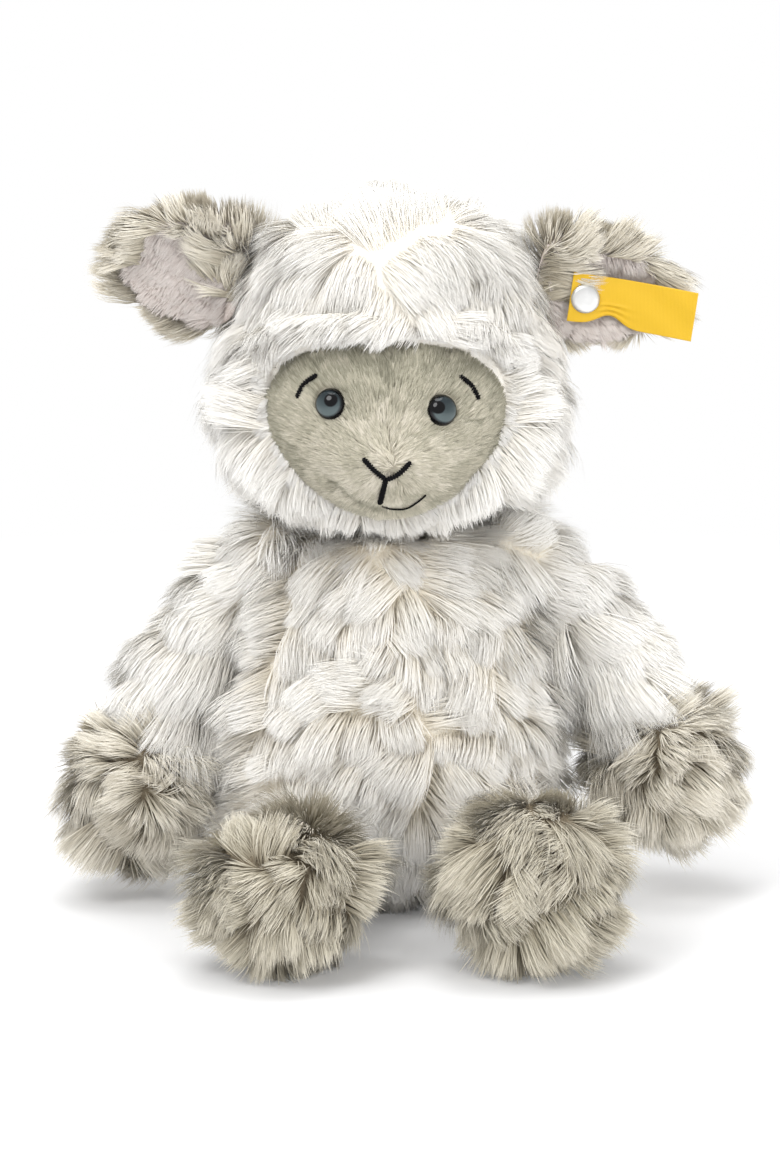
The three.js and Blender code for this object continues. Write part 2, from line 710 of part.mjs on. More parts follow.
function buildHead() {
  const group = new THREE.Group();
  group.position.set(0, 0, neckPivotHeight);
  const neckSocket = solid(roomyBall(neckDomeRadius + gap, footSides));
  const under = nodRoom();
  const opening = faceOpening(gap, panelBackForward - gap);
  const hollow = solid(headForm(-plushThick, headCoreSides));
  const hood = cutBy(solid(headForm(0)), [hollow, neckSocket, under, opening]);
  group.add(meshOf("head_hood", hood, "white_plush"));

  const rooms = Object.values(sides).map(eyeRoom);
  const holes = rooms.map(({ hole }) => hole);
  const pockets = rooms.map(({ pocket }) => pocket);
  const faceHollow = faceForm(-velourThick, faceCoreSides);
  const panel = cutBy(faceForm(0), [faceHollow, ...holes, ...pockets]);
  group.add(meshOf("face_panel", panel.intersect(faceOpening(0, panelBackForward)), "face_velour"));

  const fill = solid(headForm(-plushThick - gap, headCoreSides)).subtract(opening);
  const core = faceForm(-velourThick - gap, faceCoreSides);
  const faceFill = core.intersect(faceOpening(-gap, panelBackForward - cutOverrun));
  const stuffing = cutBy(fill.add(faceFill), [neckSocket, under, ...holes, ...pockets]);
  group.add(meshOf("head_stuffing", stuffing, "stuffing"));

  for (const [name, side] of Object.entries(sides)) {
    const eye = new THREE.Group();
    eyePlace(side).decompose(eye.position, eye.quaternion, eye.scale);
    eye.add(meshOf(`${name}_eye`, solid(eyeForm()), "eye_plastic"));
    eye.add(meshOf(`${name}_eye_washer`, solid(washerForm()), "washer_plastic"));
    group.add(eye);
    const brow = [browOuter, browMiddle, browInner].map(([x, z]) => [side * x, z]);
    group.add(meshOf(`${name}_brow_stitching`, stitched(brow, threadRadius), "black_thread"));
    group.add(buildEar(side, name));
  }
  group.add(meshOf("nose_stitching", noseStitching(), "black_thread"));
  group.add(meshOf("mouth_stitching", mouthStitching(), "black_thread"));
  return group;
}

// Arms, each in a frame at its shoulder
function armCurve(side, { elbowOut, elbowDrop, tipOut, tipDrop, tipForward }) {
  return new THREE.QuadraticBezierCurve3(
    new THREE.Vector3(-side * armRootInside, 0, armRootRise),
    new THREE.Vector3(side * elbowOut, 0, -elbowDrop),
    new THREE.Vector3(side * tipOut, -tipForward, -tipDrop),
  );
}

function armPiece(side, pose, shares, rings, growth, sides = armSides) {
  const outline = closedOutline(smoothOutline(shares, armHalfWidth, armFormLength, rings));
  const geometry = revolved(grownOutline(outline, growth), sides);
  return solid(laidAlong(geometry, armCurve(side, pose), armFormLength));
}

function buildArm(side, name) {
  const group = new THREE.Group();
  group.position.copy(shoulderPlace(side));
  const pose = armPoses[name];
  const reach = shoulderHeight - torsoHeight * armClearShare;
  const torso = solid(shoulderPlug(side, reach, shoulderSpread, gap));
  const core = [...sleeveOutlineShares, ...pawOutlineShares.slice(1)];
  const sleeve = armPiece(side, pose, sleeveOutlineShares, 6, 0);
  const paw = armPiece(side, pose, pawOutlineShares, 7, 0);
  const bore = armPiece(side, pose, core, 8, -plushThick, armCoreSides);
  const fill = armPiece(side, pose, core, 8, -plushThick - gap, armCoreSides);
  group.add(meshOf(`${name}_sleeve`, cutBy(sleeve, [bore, torso]), "white_plush"));
  group.add(meshOf(`${name}_paw`, cutBy(paw, [bore, torso]), "taupe_plush"));
  group.add(meshOf(`${name}_arm_stuffing`, fill.subtract(torso), "stuffing"));
  return group;
}

// Legs, each in a frame at its hip, pointing along -Y before it is splayed
function legForm(growth, rise, sides = legSides) {
  const leave = Math.acos(shankRadius / thighRadius);
  const arc = new THREE.EllipseCurve(0, 0, thighRadius, thighRadius, -Math.PI / 2, leave).getPoints(8);
  arc[0].x = 0;
  const shank = [[shankRadius, legLength * kneeShare], [shankRadius * ankleNeckShare, legLength]];
  const points = [...arc, ...shank.map(([x, y]) => new THREE.Vector2(x, y))];
  const geometry = revolved(grownOutline(closedOutline(points), growth), sides);
  return solid(geometry.rotateX(Math.PI / 2 - rise));
}

function buildLeg(side, name) {
  const group = new THREE.Group();
  const { splay, halfWidth, halfDepth, halfHeight } = footPoses[name];
  const place = hipPlace(side);
  group.position.copy(place);
  group.rotation.z = side * splay;
  const rise = legRise(footPoses[name]);
  const foot = (growth, sides = footSides) => {
    const form = ellipsoid([halfWidth, halfDepth, halfHeight], sides, growth);
    return solid(shifted(form, 0, -legLength, footRise(footPoses[name])));
  };
  const floor = floorCut.translate([0, 0, -place.z]);
  const core = (growth) => legForm(growth, rise, legCoreSides).add(foot(growth, legCoreSides));
  const skin = cutBy(legForm(0, rise), [foot(gap), core(-plushThick), floor]);
  group.add(meshOf(`${name}_leg_skin`, skin, "white_plush"));
  group.add(meshOf(`${name}_foot`, cutBy(foot(0), [core(-plushThick), floor]), "taupe_plush"));
  group.add(meshOf(`${name}_leg_stuffing`, core(-plushThick - gap), "stuffing"));
  return group;
}

// Tail, in a frame where its seam meets the torso's back
function buildTail() {
  const group = new THREE.Group();
  group.position.set(0, torsoHalfWidthAt(tailHeight) * torsoDepthShare, tailHeight);
  group.updateMatrix();
  const outline = smoothOutline(tailOutlineShares, tailRadius, tailLength, tailRings);
  outline[tailRings].x = 0;
  const form = revolved(outline, tailSides).rotateX(tailSlope - Math.PI / 2);
  const back = moved(torsoForm(gap), group.matrix.clone().invert());
  const angles = anglesBetween(-tailWagLimit, tailWagLimit, 4);
  const rooms = angles.map((angle) => solid(moved(back, turned(zAxis, angle))));
  group.add(meshOf("tail", cutBy(solid(form), rooms), "white_plush"));
  return group;
}

const lamb = new THREE.Group();
lamb.name = "plush_lamb";
lamb.add(buildTorso(), buildNeck(), buildHead(), buildTail());
for (const [name, side] of Object.entries(sides)) {
  lamb.add(buildArm(side, name), buildLeg(side, name));
}

export default lamb;
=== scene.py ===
import math

import bpy
import numpy as np
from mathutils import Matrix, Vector
from mathutils.kdtree import KDTree

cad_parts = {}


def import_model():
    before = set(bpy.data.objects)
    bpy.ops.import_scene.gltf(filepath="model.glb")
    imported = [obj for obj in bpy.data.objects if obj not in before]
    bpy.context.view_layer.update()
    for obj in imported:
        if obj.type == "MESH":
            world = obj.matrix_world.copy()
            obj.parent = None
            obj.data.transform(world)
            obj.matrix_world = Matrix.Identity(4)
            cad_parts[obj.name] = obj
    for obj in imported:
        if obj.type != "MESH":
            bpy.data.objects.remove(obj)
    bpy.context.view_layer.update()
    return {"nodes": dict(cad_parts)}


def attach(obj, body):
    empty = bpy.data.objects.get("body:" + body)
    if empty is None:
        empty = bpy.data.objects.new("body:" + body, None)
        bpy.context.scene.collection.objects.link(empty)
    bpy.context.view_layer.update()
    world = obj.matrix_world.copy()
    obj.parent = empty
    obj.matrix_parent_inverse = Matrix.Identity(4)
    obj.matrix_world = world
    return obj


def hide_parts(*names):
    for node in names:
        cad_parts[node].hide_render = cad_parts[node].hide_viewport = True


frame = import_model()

# Sizes are in millimetres until a mesh is made, with z = 0 at the seat and the toy facing -y
rng = np.random.default_rng(11)
MM = 0.001
NODES = frame["nodes"]
SIDES = {"left": 1, "right": -1}


# Arithmetic
def unit(v):
    return v / np.maximum(np.linalg.norm(v, axis=-1, keepdims=True), 1e-9)


def dot(a, b):
    return (a * b).sum(-1, keepdims=True)


def vectors(x, y, z):
    return np.stack(np.broadcast_arrays(x, y, z), -1)


def hump(x, power=2):
    """1 where x is 0, fading to 0 on both sides."""
    return np.exp(-(x**power))


def spot(x, z, power=1):
    """1 where x and z are 0, fading to 0 all round."""
    return np.exp(-((x**2 + z**2) ** power))


def climb(x, over):
    """From 0 where x is 0 straight up to 1 where x is over."""
    return np.clip(x / over, 0, 1)


def step(x):
    """From 0 below x = 0 smoothly up to 1 above it."""
    return 1 / (1 + np.exp(-x))


def mirrored(places, name):
    """Places given for the left side, on a named side."""
    return np.array(places, float) * (SIDES[name], 1, 1)


def blend(a, b, share):
    """Vectors from a, where share is 0, to b, where share is 1."""
    share = share[:, None]
    return a * (1 - share) + b * share


def spline(knots, count):
    """A smooth curve through knots, evenly spaced in its parameter."""
    k = np.asarray(knots, float)
    last = len(k) - 1
    t = np.linspace(0, last, count)
    i = np.minimum(t.astype(int), last - 1)
    f = (t - i)[:, None]
    p0, p1, p2, p3 = k[np.maximum(i - 1, 0)], k[i], k[i + 1], k[np.minimum(i + 2, last)]
    v0, v1 = (p2 - p0) / 2, (p3 - p1) / 2
    return (2 * p1 - 2 * p2 + v0 + v1) * f**3 + (3 * p2 - 3 * p1 - 2 * v0 - v1) * f**2 + v0 * f + p1


def turn_about(axis, degrees):
    a = math.radians(degrees)
    x, y, z = axis
    c, s, k = math.cos(a), math.sin(a), 1 - math.cos(a)
    return np.array([
        [c + x * x * k, x * y * k - z * s, x * z * k + y * s],
        [y * x * k + z * s, c + y * y * k, y * z * k - x * s],
        [z * x * k - y * s, z * y * k + x * s, c + z * z * k],
    ])


# Closed forms
class Form:
    """A closed triangle mesh in millimetres, facing out, with its vertex normals."""

    def __init__(self, verts, tris):
        self.verts, self.tris = np.asarray(verts, float), np.asarray(tris, int)
        a, b, c = self.corners()
        if np.einsum("ij,ij->i", a, np.cross(b, c)).sum() < 0:
            self.tris = self.tris[:, ::-1]
        a, b, c = self.corners()
        face = np.cross(b - a, c - a)
        total = np.zeros_like(self.verts)
        for i in range(3):
            np.add.at(total, self.tris[:, i], face)
        self.normals = unit(total)
        self.area = np.linalg.norm(face, axis=1) / 2

    def corners(self):
        return (self.verts[self.tris[:, i]] for i in range(3))

    def grown(self, depth):
        return Form(self.verts + self.normals * depth, self.tris)

    def scatter(self, density, keep=None):
        """Random places on the surface with their normals. keep gives the chance that a place is used."""
        count = int(self.area.sum() * density)
        tri = rng.choice(len(self.tris), count, p=self.area / self.area.sum())
        u, v = rng.random(count), rng.random(count)
        flip = u + v > 1
        u[flip], v[flip] = 1 - u[flip], 1 - v[flip]
        w = np.stack([1 - u - v, u, v], 1)[:, :, None]
        places = (self.verts[self.tris[tri]] * w).sum(1)
        normals = unit((self.normals[self.tris[tri]] * w).sum(1))
        if keep is not None:
            held = rng.random(count) < keep(places, normals)
            places, normals = places[held], normals[held]
        return places, normals


def ringed(first, grid, last, place=lambda p: p):
    """A closed body from rings of points between two single points. place maps local points."""
    rings, sides = grid.shape[:2]
    verts = np.concatenate([[first], grid.reshape(-1, 3), [last]])
    s = np.arange(sides)
    nxt = (s + 1) % sides
    tris = [np.stack([0 * s, 1 + nxt, 1 + s], 1)]
    for i in range(rings - 1):
        low, high = 1 + i * sides, 1 + (i + 1) * sides
        tris.append(np.stack([low + s, low + nxt, high + nxt], 1))
        tris.append(np.stack([low + s, high + nxt, high + s], 1))
    top = 1 + (rings - 1) * sides
    tris.append(np.stack([top + s, top + nxt, 0 * s + len(verts) - 1], 1))
    return Form(place(verts), np.concatenate(tris))


def circle(sides):
    """The angles of a ring's points."""
    return np.linspace(0, 2 * np.pi, sides, endpoint=False)


def revolved(outline, sides, place):
    """A closed body from a (radius, height) outline that starts and ends on the axis."""
    outline = np.asarray(outline, float)
    r, h = outline[1:-1, 0:1], outline[1:-1, 1:2]
    a = circle(sides)
    rings = vectors(r * np.cos(a), r * np.sin(a), h)
    return ringed((0, 0, outline[0, 1]), rings, (0, 0, outline[-1, 1]), place)


def closed(points):
    """An outline whose ends reach the axis in a few steps, so that the caps have rings of their own."""
    points = np.asarray(points, float)
    points[:, 0] = np.maximum(points[:, 0], 0)
    ends = []
    for end in (points[0], points[-1]):
        shares = np.array([0, 0.35, 0.7])[:, None] if end[0] > 1e-6 else np.zeros((0, 1))
        ends.append(np.hstack([shares * end[0], np.full_like(shares, end[1])]))
    return np.concatenate([ends[0], points, ends[1][::-1]])


def pointed(shares, count, size):
    """A smooth outline through shares of a size, which starts and ends on the axis."""
    line = spline(shares, count) * size
    line[[0, -1], 0] = 0
    return line


def ellipsoid(radii, sides, place):
    a = np.linspace(-np.pi / 2, np.pi / 2, sides)
    outline = np.stack([np.cos(a), np.sin(a)], 1)
    outline[[0, -1], 0] = 0
    return revolved(outline, 2 * sides, lambda p: place(p * np.asarray(radii)))


# Pieces
SKIN_LOW, FIBRE_LOW = 0.8, 0.25
MAP = "OFBake"
MAP_START, MAP_SPAN, FIBRE_MAP = 0.02, 0.96, 0.006


def piece_of(mesh, material, body, slot):
    mesh.materials.append(material)
    obj = bpy.data.objects.new(mesh.name, mesh)
    bpy.context.scene.collection.objects.link(obj)
    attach(obj, body)
    return obj


def piece_from(name, verts, faces, material, body, slot):
    mesh = bpy.data.meshes.new(name)
    mesh.from_pydata((np.asarray(verts) * MM).tolist(), [], faces)
    mesh.update()
    mesh.shade_smooth()
    return piece_of(mesh, material, body, slot)


def skin_piece(name, form, material, body, slot, nodes):
    """A stuffed skin that stands for CAD nodes."""
    verts = form.verts.copy()
    verts[:, 2] = np.maximum(verts[:, 2], SKIN_LOW)
    obj = piece_from(name, verts, form.tris.tolist(), material, body, slot)
    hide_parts(*nodes)
    return obj


def ribbons(name, p0, p1, p2, out, base, width, tone, soft, segments, material, body, slot):
    """One mesh of tapered pile fibres, each along the curve p0, p1, p2 and lying flat to out.

    They shade between their own faces and base, the skin's normals, as dense pile does. soft is base's share.
    """
    n, t = len(p0), np.linspace(0, 1, segments + 1)
    a, b, c = (share[None, :, None] for share in ((1 - t) ** 2, 2 * t * (1 - t), t**2))
    line = a * p0[:, None] + b * p1[:, None] + c * p2[:, None]
    along = np.gradient(line, axis=1)
    side = unit(np.cross(along, np.repeat(out[:, None], segments + 1, 1)))
    shade = unit(unit(np.cross(side, along)) * (1 - soft) + base[:, None] * soft)
    taper = np.sqrt(1 - t**1.7)
    half = side * (width[:, None, None] / 2) * taper[None, :, None]
    per, pairs = 2 * segments + 1, 2 * segments
    verts, normals = np.empty((n, per, 3)), np.empty((n, per, 3))
    verts[:, 0:pairs:2] = (line - half)[:, :segments]
    verts[:, 1:pairs:2] = (line + half)[:, :segments]
    verts[:, -1] = line[:, -1]
    verts[:, :, 2] = np.maximum(verts[:, :, 2], FIBRE_LOW)
    for start in (0, 1):
        normals[:, start:pairs:2] = shade[:, :segments]
    normals[:, -1] = shade[:, -1]
    corner, u, v = [], [], []
    for j in range(segments - 1):
        corner += [2 * j, 2 * j + 1, 2 * j + 3, 2 * j + 2]
        u += [-1, 1, 1, -1]
        v += [t[j], t[j], t[j + 1], t[j + 1]]
    corner += [pairs - 2, pairs - 1, pairs]
    u += [-1, 1, 0]
    v += [t[segments - 1], t[segments - 1], 1]
    loops = (np.arange(n)[:, None] * per + np.array(corner)).ravel()
    sizes = np.tile([4] * (segments - 1) + [3], n)
    starts = np.concatenate([[0], np.cumsum(sizes)[:-1]])
    mesh = bpy.data.meshes.new(name)
    mesh.vertices.add(n * per)
    mesh.vertices.foreach_set("co", (verts * MM).astype(np.float32).ravel())
    mesh.loops.add(len(loops))
    mesh.loops.foreach_set("vertex_index", loops.astype(np.int32))
    mesh.polygons.add(len(starts))
    mesh.polygons.foreach_set("loop_start", starts.astype(np.int32))
    uv = np.stack([
        MAP_START + MAP_SPAN * np.clip(tone, 0, 1)[:, None] + FIBRE_MAP * np.array(u),
        np.broadcast_to(MAP_START + MAP_SPAN * np.array(v), (n, len(v))),
    ], -1)
    mesh.update(calc_edges=True)
    mesh.uv_layers.new(name=MAP).uv.foreach_set("vector", uv.astype(np.float32).ravel())
    mesh.shade_smooth()
    held = mesh.attributes.new("custom_normal", "FLOAT_VECTOR", "POINT")
    held.data.foreach_set("vector", normals.astype(np.float32).ravel())
    mesh.update()
    return piece_of(mesh, material, body, slot)


# Fibres
SWELL = 26
LEAST_LIFT, MOST_LIFT, STEEPEST = 6, 80, 1.4
LOCK_SHARE, OWN_SHARE, STRAND_SPREAD = 0.8, 0.2, 0.3
LEAST_LENGTH, BEND_AT, ROOT_DEPTH = 0.45, 0.42, 0.6
LEAST_WIDTH, WIDTH_SPREAD, LIFT_SPREAD, TONE_SPREAD, ROLL = 0.08, 0.15, 0.06, 0.12, 0.22


def nearest(points, targets):
    """For each point the number of its nearest target."""
    tree = KDTree(len(targets))
    for i, p in enumerate(targets):
        tree.insert(p, i)
    tree.balance()
    return np.array([tree.find(p)[1] for p in points])


def drift(p, wave, seed):
    """A smooth random field from -1 to 1 whose swells are about wave millimetres apart."""
    own = np.random.default_rng(seed)
    total = np.zeros(len(p))
    for _ in range(6):
        k = own.normal(0, 1, 3)
        k *= 2 * np.pi / wave / np.linalg.norm(k) * own.uniform(0.7, 1.4)
        total += np.sin(p @ k + own.uniform(0, 2 * np.pi))
    return total / 2.6


def tousle(p, wave, seed):
    """Smooth random directions."""
    return np.stack([drift(p, wave, seed + i) for i in range(3)], 1)


def waves(p, along, wave, seed):
    """Ruffled rows across a direction, from -1 to 1, that wander and break up."""
    phase = along / wave + 0.35 * drift(p, 34, seed)
    return np.sin(2 * np.pi * phase) * (0.75 + 0.25 * drift(p, 20, seed + 1))


def pile(places, normals, comb, area, length, lift, spacing, swing=25, jitter=14, gather=0.3,
         blunt=0.5, stray=0.1, fine=0.25, mound=5, curl=0.22, uneven=0.1, streak=0.17, bundle=14,
         extra=None, seed=1):
    """Curves of pile fibres that lie in locks with blunt ends.

    length is (mean, spread share) and lift is (mean, spread) in degrees. swing and jitter turn the comb's
    direction in broad swells and from lock to lock, gather draws a lock together and mound lifts its middle.
    uneven is the spread of single fibres' lengths, bundle the number of fibres that stick together, streak
    the spread of their tones, and extra gives degrees of lift and a length share by place.
    """
    n = len(places)
    count = max(int(area / spacing**2), 6)
    chosen = rng.choice(n, min(count, n), replace=False)
    lock = nearest(places, places[chosen])
    centre, c_out = places[chosen], normals[chosen]
    k = len(chosen)
    flow = comb(places, normals)
    flow = unit(flow - normals * dot(flow, normals))
    c_flow = flow[chosen]
    turn = np.radians(swing * drift(centre, SWELL, seed) + rng.normal(0, jitter, k))[:, None]
    c_flow = unit(c_flow * np.cos(turn) + np.cross(c_out, c_flow) * np.sin(turn))
    rise = np.radians(np.clip(rng.normal(lift[0], lift[1], (k, 1)), LEAST_LIFT, MOST_LIFT))
    reach = length[0] * (1 + rng.normal(0, length[1], (k, 1)))
    if extra is not None:
        more, share = extra(centre, c_out)
        rise = np.minimum(rise + np.radians(more)[:, None], STEEPEST)
        reach = reach * share[:, None]
    offset = places - centre[lock]
    gap = np.minimum(np.linalg.norm(offset, axis=1, keepdims=True) / spacing, 1)
    own = LOCK_SHARE * c_flow[lock] + OWN_SHARE * flow + rng.normal(0, stray, (n, 3))
    own = unit(own - normals * dot(own, normals))
    own_rise = rise[lock] + np.radians(mound * (0.5 - gap**1.5)) + rng.normal(0, LIFT_SPREAD, (n, 1))
    ahead = dot(offset, c_flow[lock])
    size = (reach[lock] - blunt * ahead) * (1 + rng.normal(0, uneven, (n, 1)))
    size = np.maximum(size, LEAST_LENGTH * reach[lock])
    heading = own * np.cos(own_rise) + normals * np.sin(own_rise)
    tip = places + size * heading
    aside = offset - c_flow[lock] * ahead
    tip -= aside * gather
    sub = rng.choice(n, max(n // bundle, 1), replace=False)
    strand = nearest(places, places[sub])
    shift = tip - places
    mean = np.stack([np.bincount(strand, shift[:, i], len(sub)) for i in range(3)], 1)
    mean /= np.maximum(np.bincount(strand, minlength=len(sub)), 1)[:, None]
    goal = places[sub][strand] + mean[strand] + STRAND_SPREAD * (places - places[sub][strand])
    tip = tip * (1 - fine) + goal * fine
    arch = np.clip(own_rise / math.radians(lift[0]), 0.1, 1.3)
    bend = places + (tip - places) * BEND_AT + normals * size * curl * arch
    tone = 0.5 + TONE_SPREAD * rng.normal(0, 1, k)[lock] + streak * rng.normal(0, 1, len(sub))[strand]
    tone += TONE_SPREAD * rng.normal(0, 1, n)
    out = unit(normals + rng.normal(0, ROLL, (n, 3)))
    return places - normals * ROOT_DEPTH, bend, tip, out, tone


def fur(name, form, body, slot, material, density, comb, length, lift, spacing, width,
        keep=None, segments=3, change=None, soft=0.65, **more):
    """Pile on a form, as one piece. density is fibres on a square millimetre."""
    places, normals = form.scatter(density, keep)
    area = len(places) / density
    p0, p1, p2, out, tone = pile(places, normals, comb, area, length, lift, spacing, **more)
    if change is not None:
        p1, p2, tone = change(places, normals, p1, p2, tone)
    wide = np.clip(width * (1 + rng.normal(0, WIDTH_SPREAD, len(p0))), LEAST_WIDTH, 1)
    return ribbons(name, p0, p1, p2, out, normals, wide, tone, soft, segments, material, body, slot)


def coat(name, form, material, comb, keep, back_from, split, densities, back, **more):
    """White pile all round a body, in three pieces: its front above and below split, and its back."""
    front, behind = densities
    for part, density, held, own in (
        ("front_high", front, lambda y, z: (y < back_from) & (z > split), {}),
        ("front_low", front, lambda y, z: (y < back_from) & (z <= split), {}),
        ("back", behind, lambda y, z: y >= back_from, back),
    ):
        fur(f"{name}_fur_{part}", form, name, "white_plush", material, density, comb,
            keep=lambda p, n: keep(p, n) * held(p[:, 1], p[:, 2]), **{**more, **own})


# Materials
def wire(tree, target, inputs):
    """Gives a node's inputs values, or links from other nodes' outputs."""
    for key, value in inputs.items():
        if isinstance(value, bpy.types.NodeSocket):
            tree.links.new(value, target.inputs[key])
        else:
            target.inputs[key].default_value = value


def node(tree, kind, inputs=None, **settings):
    made = tree.nodes.new("ShaderNode" + kind)
    for key, value in settings.items():
        setattr(made, key, value)
    wire(tree, made, inputs or {})
    return made


def nodes_of(name):
    material = bpy.data.materials.new(name)
    material.use_nodes = True
    tree = material.node_tree
    return material, tree, tree.nodes["Principled BSDF"]


def ramp(tree, fac, stops):
    made = node(tree, "ValToRGB", {"Fac": fac})
    elements = made.color_ramp.elements
    while len(elements) < len(stops):
        elements.new(0.5)
    for element, (place, colour) in zip(elements, stops.items()):
        element.position, element.color = place, (*colour, 1)
    return made.outputs["Color"]


def mixed(tree, kind, fac, a, b):
    return node(tree, "Mix", {"Factor": fac, 6: a, 7: b}, data_type="RGBA", blend_type=kind).outputs[2]


def own_place(tree):
    return node(tree, "TexCoord").outputs["Object"]


def own_map(tree):
    return node(tree, "UVMap", uv_map=MAP).outputs["UV"]


def noise(tree, scale, detail):
    made = node(tree, "TexNoise", {"Vector": own_place(tree), "Scale": scale, "Detail": detail})
    return made.outputs["Fac"]


def relief(tree, height, strength, distance):
    made = node(tree, "Bump", {"Height": height, "Strength": strength, "Distance": distance})
    return made.outputs["Normal"]


def pile_material(name, along, tones):
    """Colours from root to tip, times a tone from lock to lock. Both are read from the fibres' own map."""
    material, tree, shader = nodes_of(name)
    split = node(tree, "SeparateXYZ", {"Vector": own_map(tree)}).outputs
    colour = mixed(tree, "MULTIPLY", 1.0, ramp(tree, split["Y"], along), ramp(tree, split["X"], tones))
    wire(tree, shader, {
        "Base Color": colour, "Roughness": 0.8, "Specular IOR Level": 0.2,
        "Sheen Weight": 0.25, "Sheen Roughness": 0.6,
    })
    return material


def cloth_material(name, dark, light, scale=900):
    """A knitted backing that shows at the roots of the pile."""
    material, tree, shader = nodes_of(name)
    wire(tree, shader, {
        "Base Color": ramp(tree, noise(tree, scale, 4), {0.35: dark, 0.65: light}),
        "Roughness": 0.95, "Specular IOR Level": 0.2,
        "Normal": relief(tree, noise(tree, scale * 1.3, 2), 0.5, 0.0006),
    })
    return material


def plain_material(name, dark, light, roughness, metallic=0.0, scale=700, gloss=0.5):
    material, tree, shader = nodes_of(name)
    wire(tree, shader, {
        "Base Color": ramp(tree, noise(tree, scale, 3), {0.3: dark, 0.7: light}),
        "Roughness": roughness, "Metallic": metallic, "Specular IOR Level": gloss,
    })
    return material


# The white piles' roots are darker and warmer than their tips: painted warm shade where the locks part.
# bright_pile, for the head and arms, has paler roots and less of it.
WHITE = pile_material(
    "white_pile",
    {0: (0.89, 0.80, 0.63), 0.4: (0.945, 0.90, 0.81), 0.75: (0.968, 0.948, 0.905), 1: (0.978, 0.966, 0.94)},
    {0: (0.83, 0.825, 0.81), 0.25: (0.93, 0.925, 0.915), 0.5: (1, 1, 1), 1: (1, 1, 1)},
)
BRIGHT = pile_material(
    "bright_pile",
    {0: (0.915, 0.865, 0.76), 0.4: (0.945, 0.915, 0.85), 0.75: (0.96, 0.945, 0.91), 1: (0.966, 0.956, 0.932)},
    {0: (0.86, 0.855, 0.845), 0.25: (0.94, 0.936, 0.93), 0.5: (1, 1, 1), 1: (1, 1, 1)},
)
TAUPE = pile_material(
    "taupe_pile",
    {0: (0.22, 0.185, 0.125), 0.3: (0.43, 0.385, 0.29), 0.65: (0.66, 0.615, 0.50), 1: (0.84, 0.795, 0.69)},
    {0: (0.62, 0.60, 0.56), 0.5: (0.88, 0.875, 0.86), 1: (1, 1, 1)},
)
# A lighter copy of the taupe pile, for the paws and the ears' outer pile: painted light on the same plush as
# the feet.
TAUPE_PAINTED_LIGHT = pile_material(
    "taupe_pile_painted_light",
    {0: (0.33, 0.285, 0.21), 0.3: (0.59, 0.54, 0.435), 0.65: (0.83, 0.785, 0.68), 1: (0.94, 0.90, 0.82)},
    {0: (0.68, 0.66, 0.62), 0.5: (0.91, 0.905, 0.89), 1: (1, 1, 1)},
)
VELOUR = pile_material(
    "velour_nap",
    {0: (0.66, 0.64, 0.60), 0.4: (0.86, 0.85, 0.84), 1: (1, 1, 1)},
    {0: (0.20, 0.19, 0.135), 0.35: (0.37, 0.355, 0.268), 0.7: (0.62, 0.585, 0.465), 1: (0.85, 0.80, 0.69)},
)
LINING = pile_material(
    "lining_nap",
    {0: (0.56, 0.485, 0.44), 0.5: (0.70, 0.635, 0.60), 1: (0.77, 0.73, 0.695)},
    {0: (0.92, 0.90, 0.89), 0.5: (1, 1, 1), 1: (1, 1, 1)},
)
# The white and hood backings are tan: painted warm shade where they show between the locks. The hood's
# backing is paler.
WHITE_CLOTH = cloth_material("white_backing", (0.82, 0.75, 0.62), (0.90, 0.85, 0.75))
TAUPE_CLOTH = cloth_material("taupe_backing", (0.16, 0.13, 0.09), (0.24, 0.2, 0.14))
HOOD_CLOTH = cloth_material("hood_backing", (0.88, 0.84, 0.76), (0.94, 0.91, 0.85))
LINING_CLOTH = cloth_material("lining_backing", (0.56, 0.485, 0.44), (0.68, 0.60, 0.56), 1600)
VELOUR_CLOTH = cloth_material("velour_backing", (0.33, 0.3, 0.24), (0.42, 0.385, 0.31), 1600)
THREAD = plain_material(
    "black_thread", (0.002, 0.002, 0.0025), (0.006, 0.006, 0.007), 0.8, scale=2500, gloss=0.15,
)
WASHER = plain_material("washer_plastic", (0.74, 0.74, 0.7), (0.82, 0.82, 0.78), 0.4)
BAG = plain_material("pellet_bag_cloth", (0.62, 0.58, 0.5), (0.74, 0.7, 0.62), 0.9, scale=1800)
STRING = plain_material("drawstring_cotton", (0.7, 0.67, 0.6), (0.84, 0.81, 0.75), 0.85, scale=2500)
STEEL = plain_material("stud_steel", (0.80, 0.80, 0.79), (0.88, 0.88, 0.87), 0.38, 1.0, scale=400)

# Torso form
TORSO_SHARES = [
    (0.56, 0), (0.86, 0.1), (0.985, 0.27), (1, 0.42), (0.95, 0.63), (0.86, 0.8), (0.74, 0.93), (0.58, 1),
]
TORSO_WIDE, TORSO_TALL, TORSO_DEEP, TORSO_SINK = 45, 100, 0.86, 0.5
TORSO_PILE, TORSO_NECK = 5.2, 90


def torso_outline():
    points = spline(TORSO_SHARES, 60) * (TORSO_WIDE, TORSO_TALL + TORSO_SINK)
    points[:, 1] -= TORSO_SINK
    return points


def torso_form():
    """The skin under the pile. Its top stays high, so that it covers the drawstring."""
    line = torso_outline()
    line[:, 0] -= TORSO_PILE
    line[:, 1] = 3 + line[:, 1] * 0.96
    return revolved(closed(line), 90, lambda p: p * (1, TORSO_DEEP, 1))


def torso_inside(p, margin):
    """How deep places lie in the torso, over 0 inside it. margin moves its surface out."""
    line = torso_outline()
    wide = np.interp(p[:, 2], line[:, 1], line[:, 0])
    return wide + margin - np.hypot(p[:, 0], p[:, 1] / TORSO_DEEP)


# Face form
FACE_X, FACE_WIDE, FACE_MID, FACE_UP, FACE_DOWN = -0.7, 31.0, 139, 18.3, 29
FACE_BACK, FACE_SHELL = -48.0, 3.2


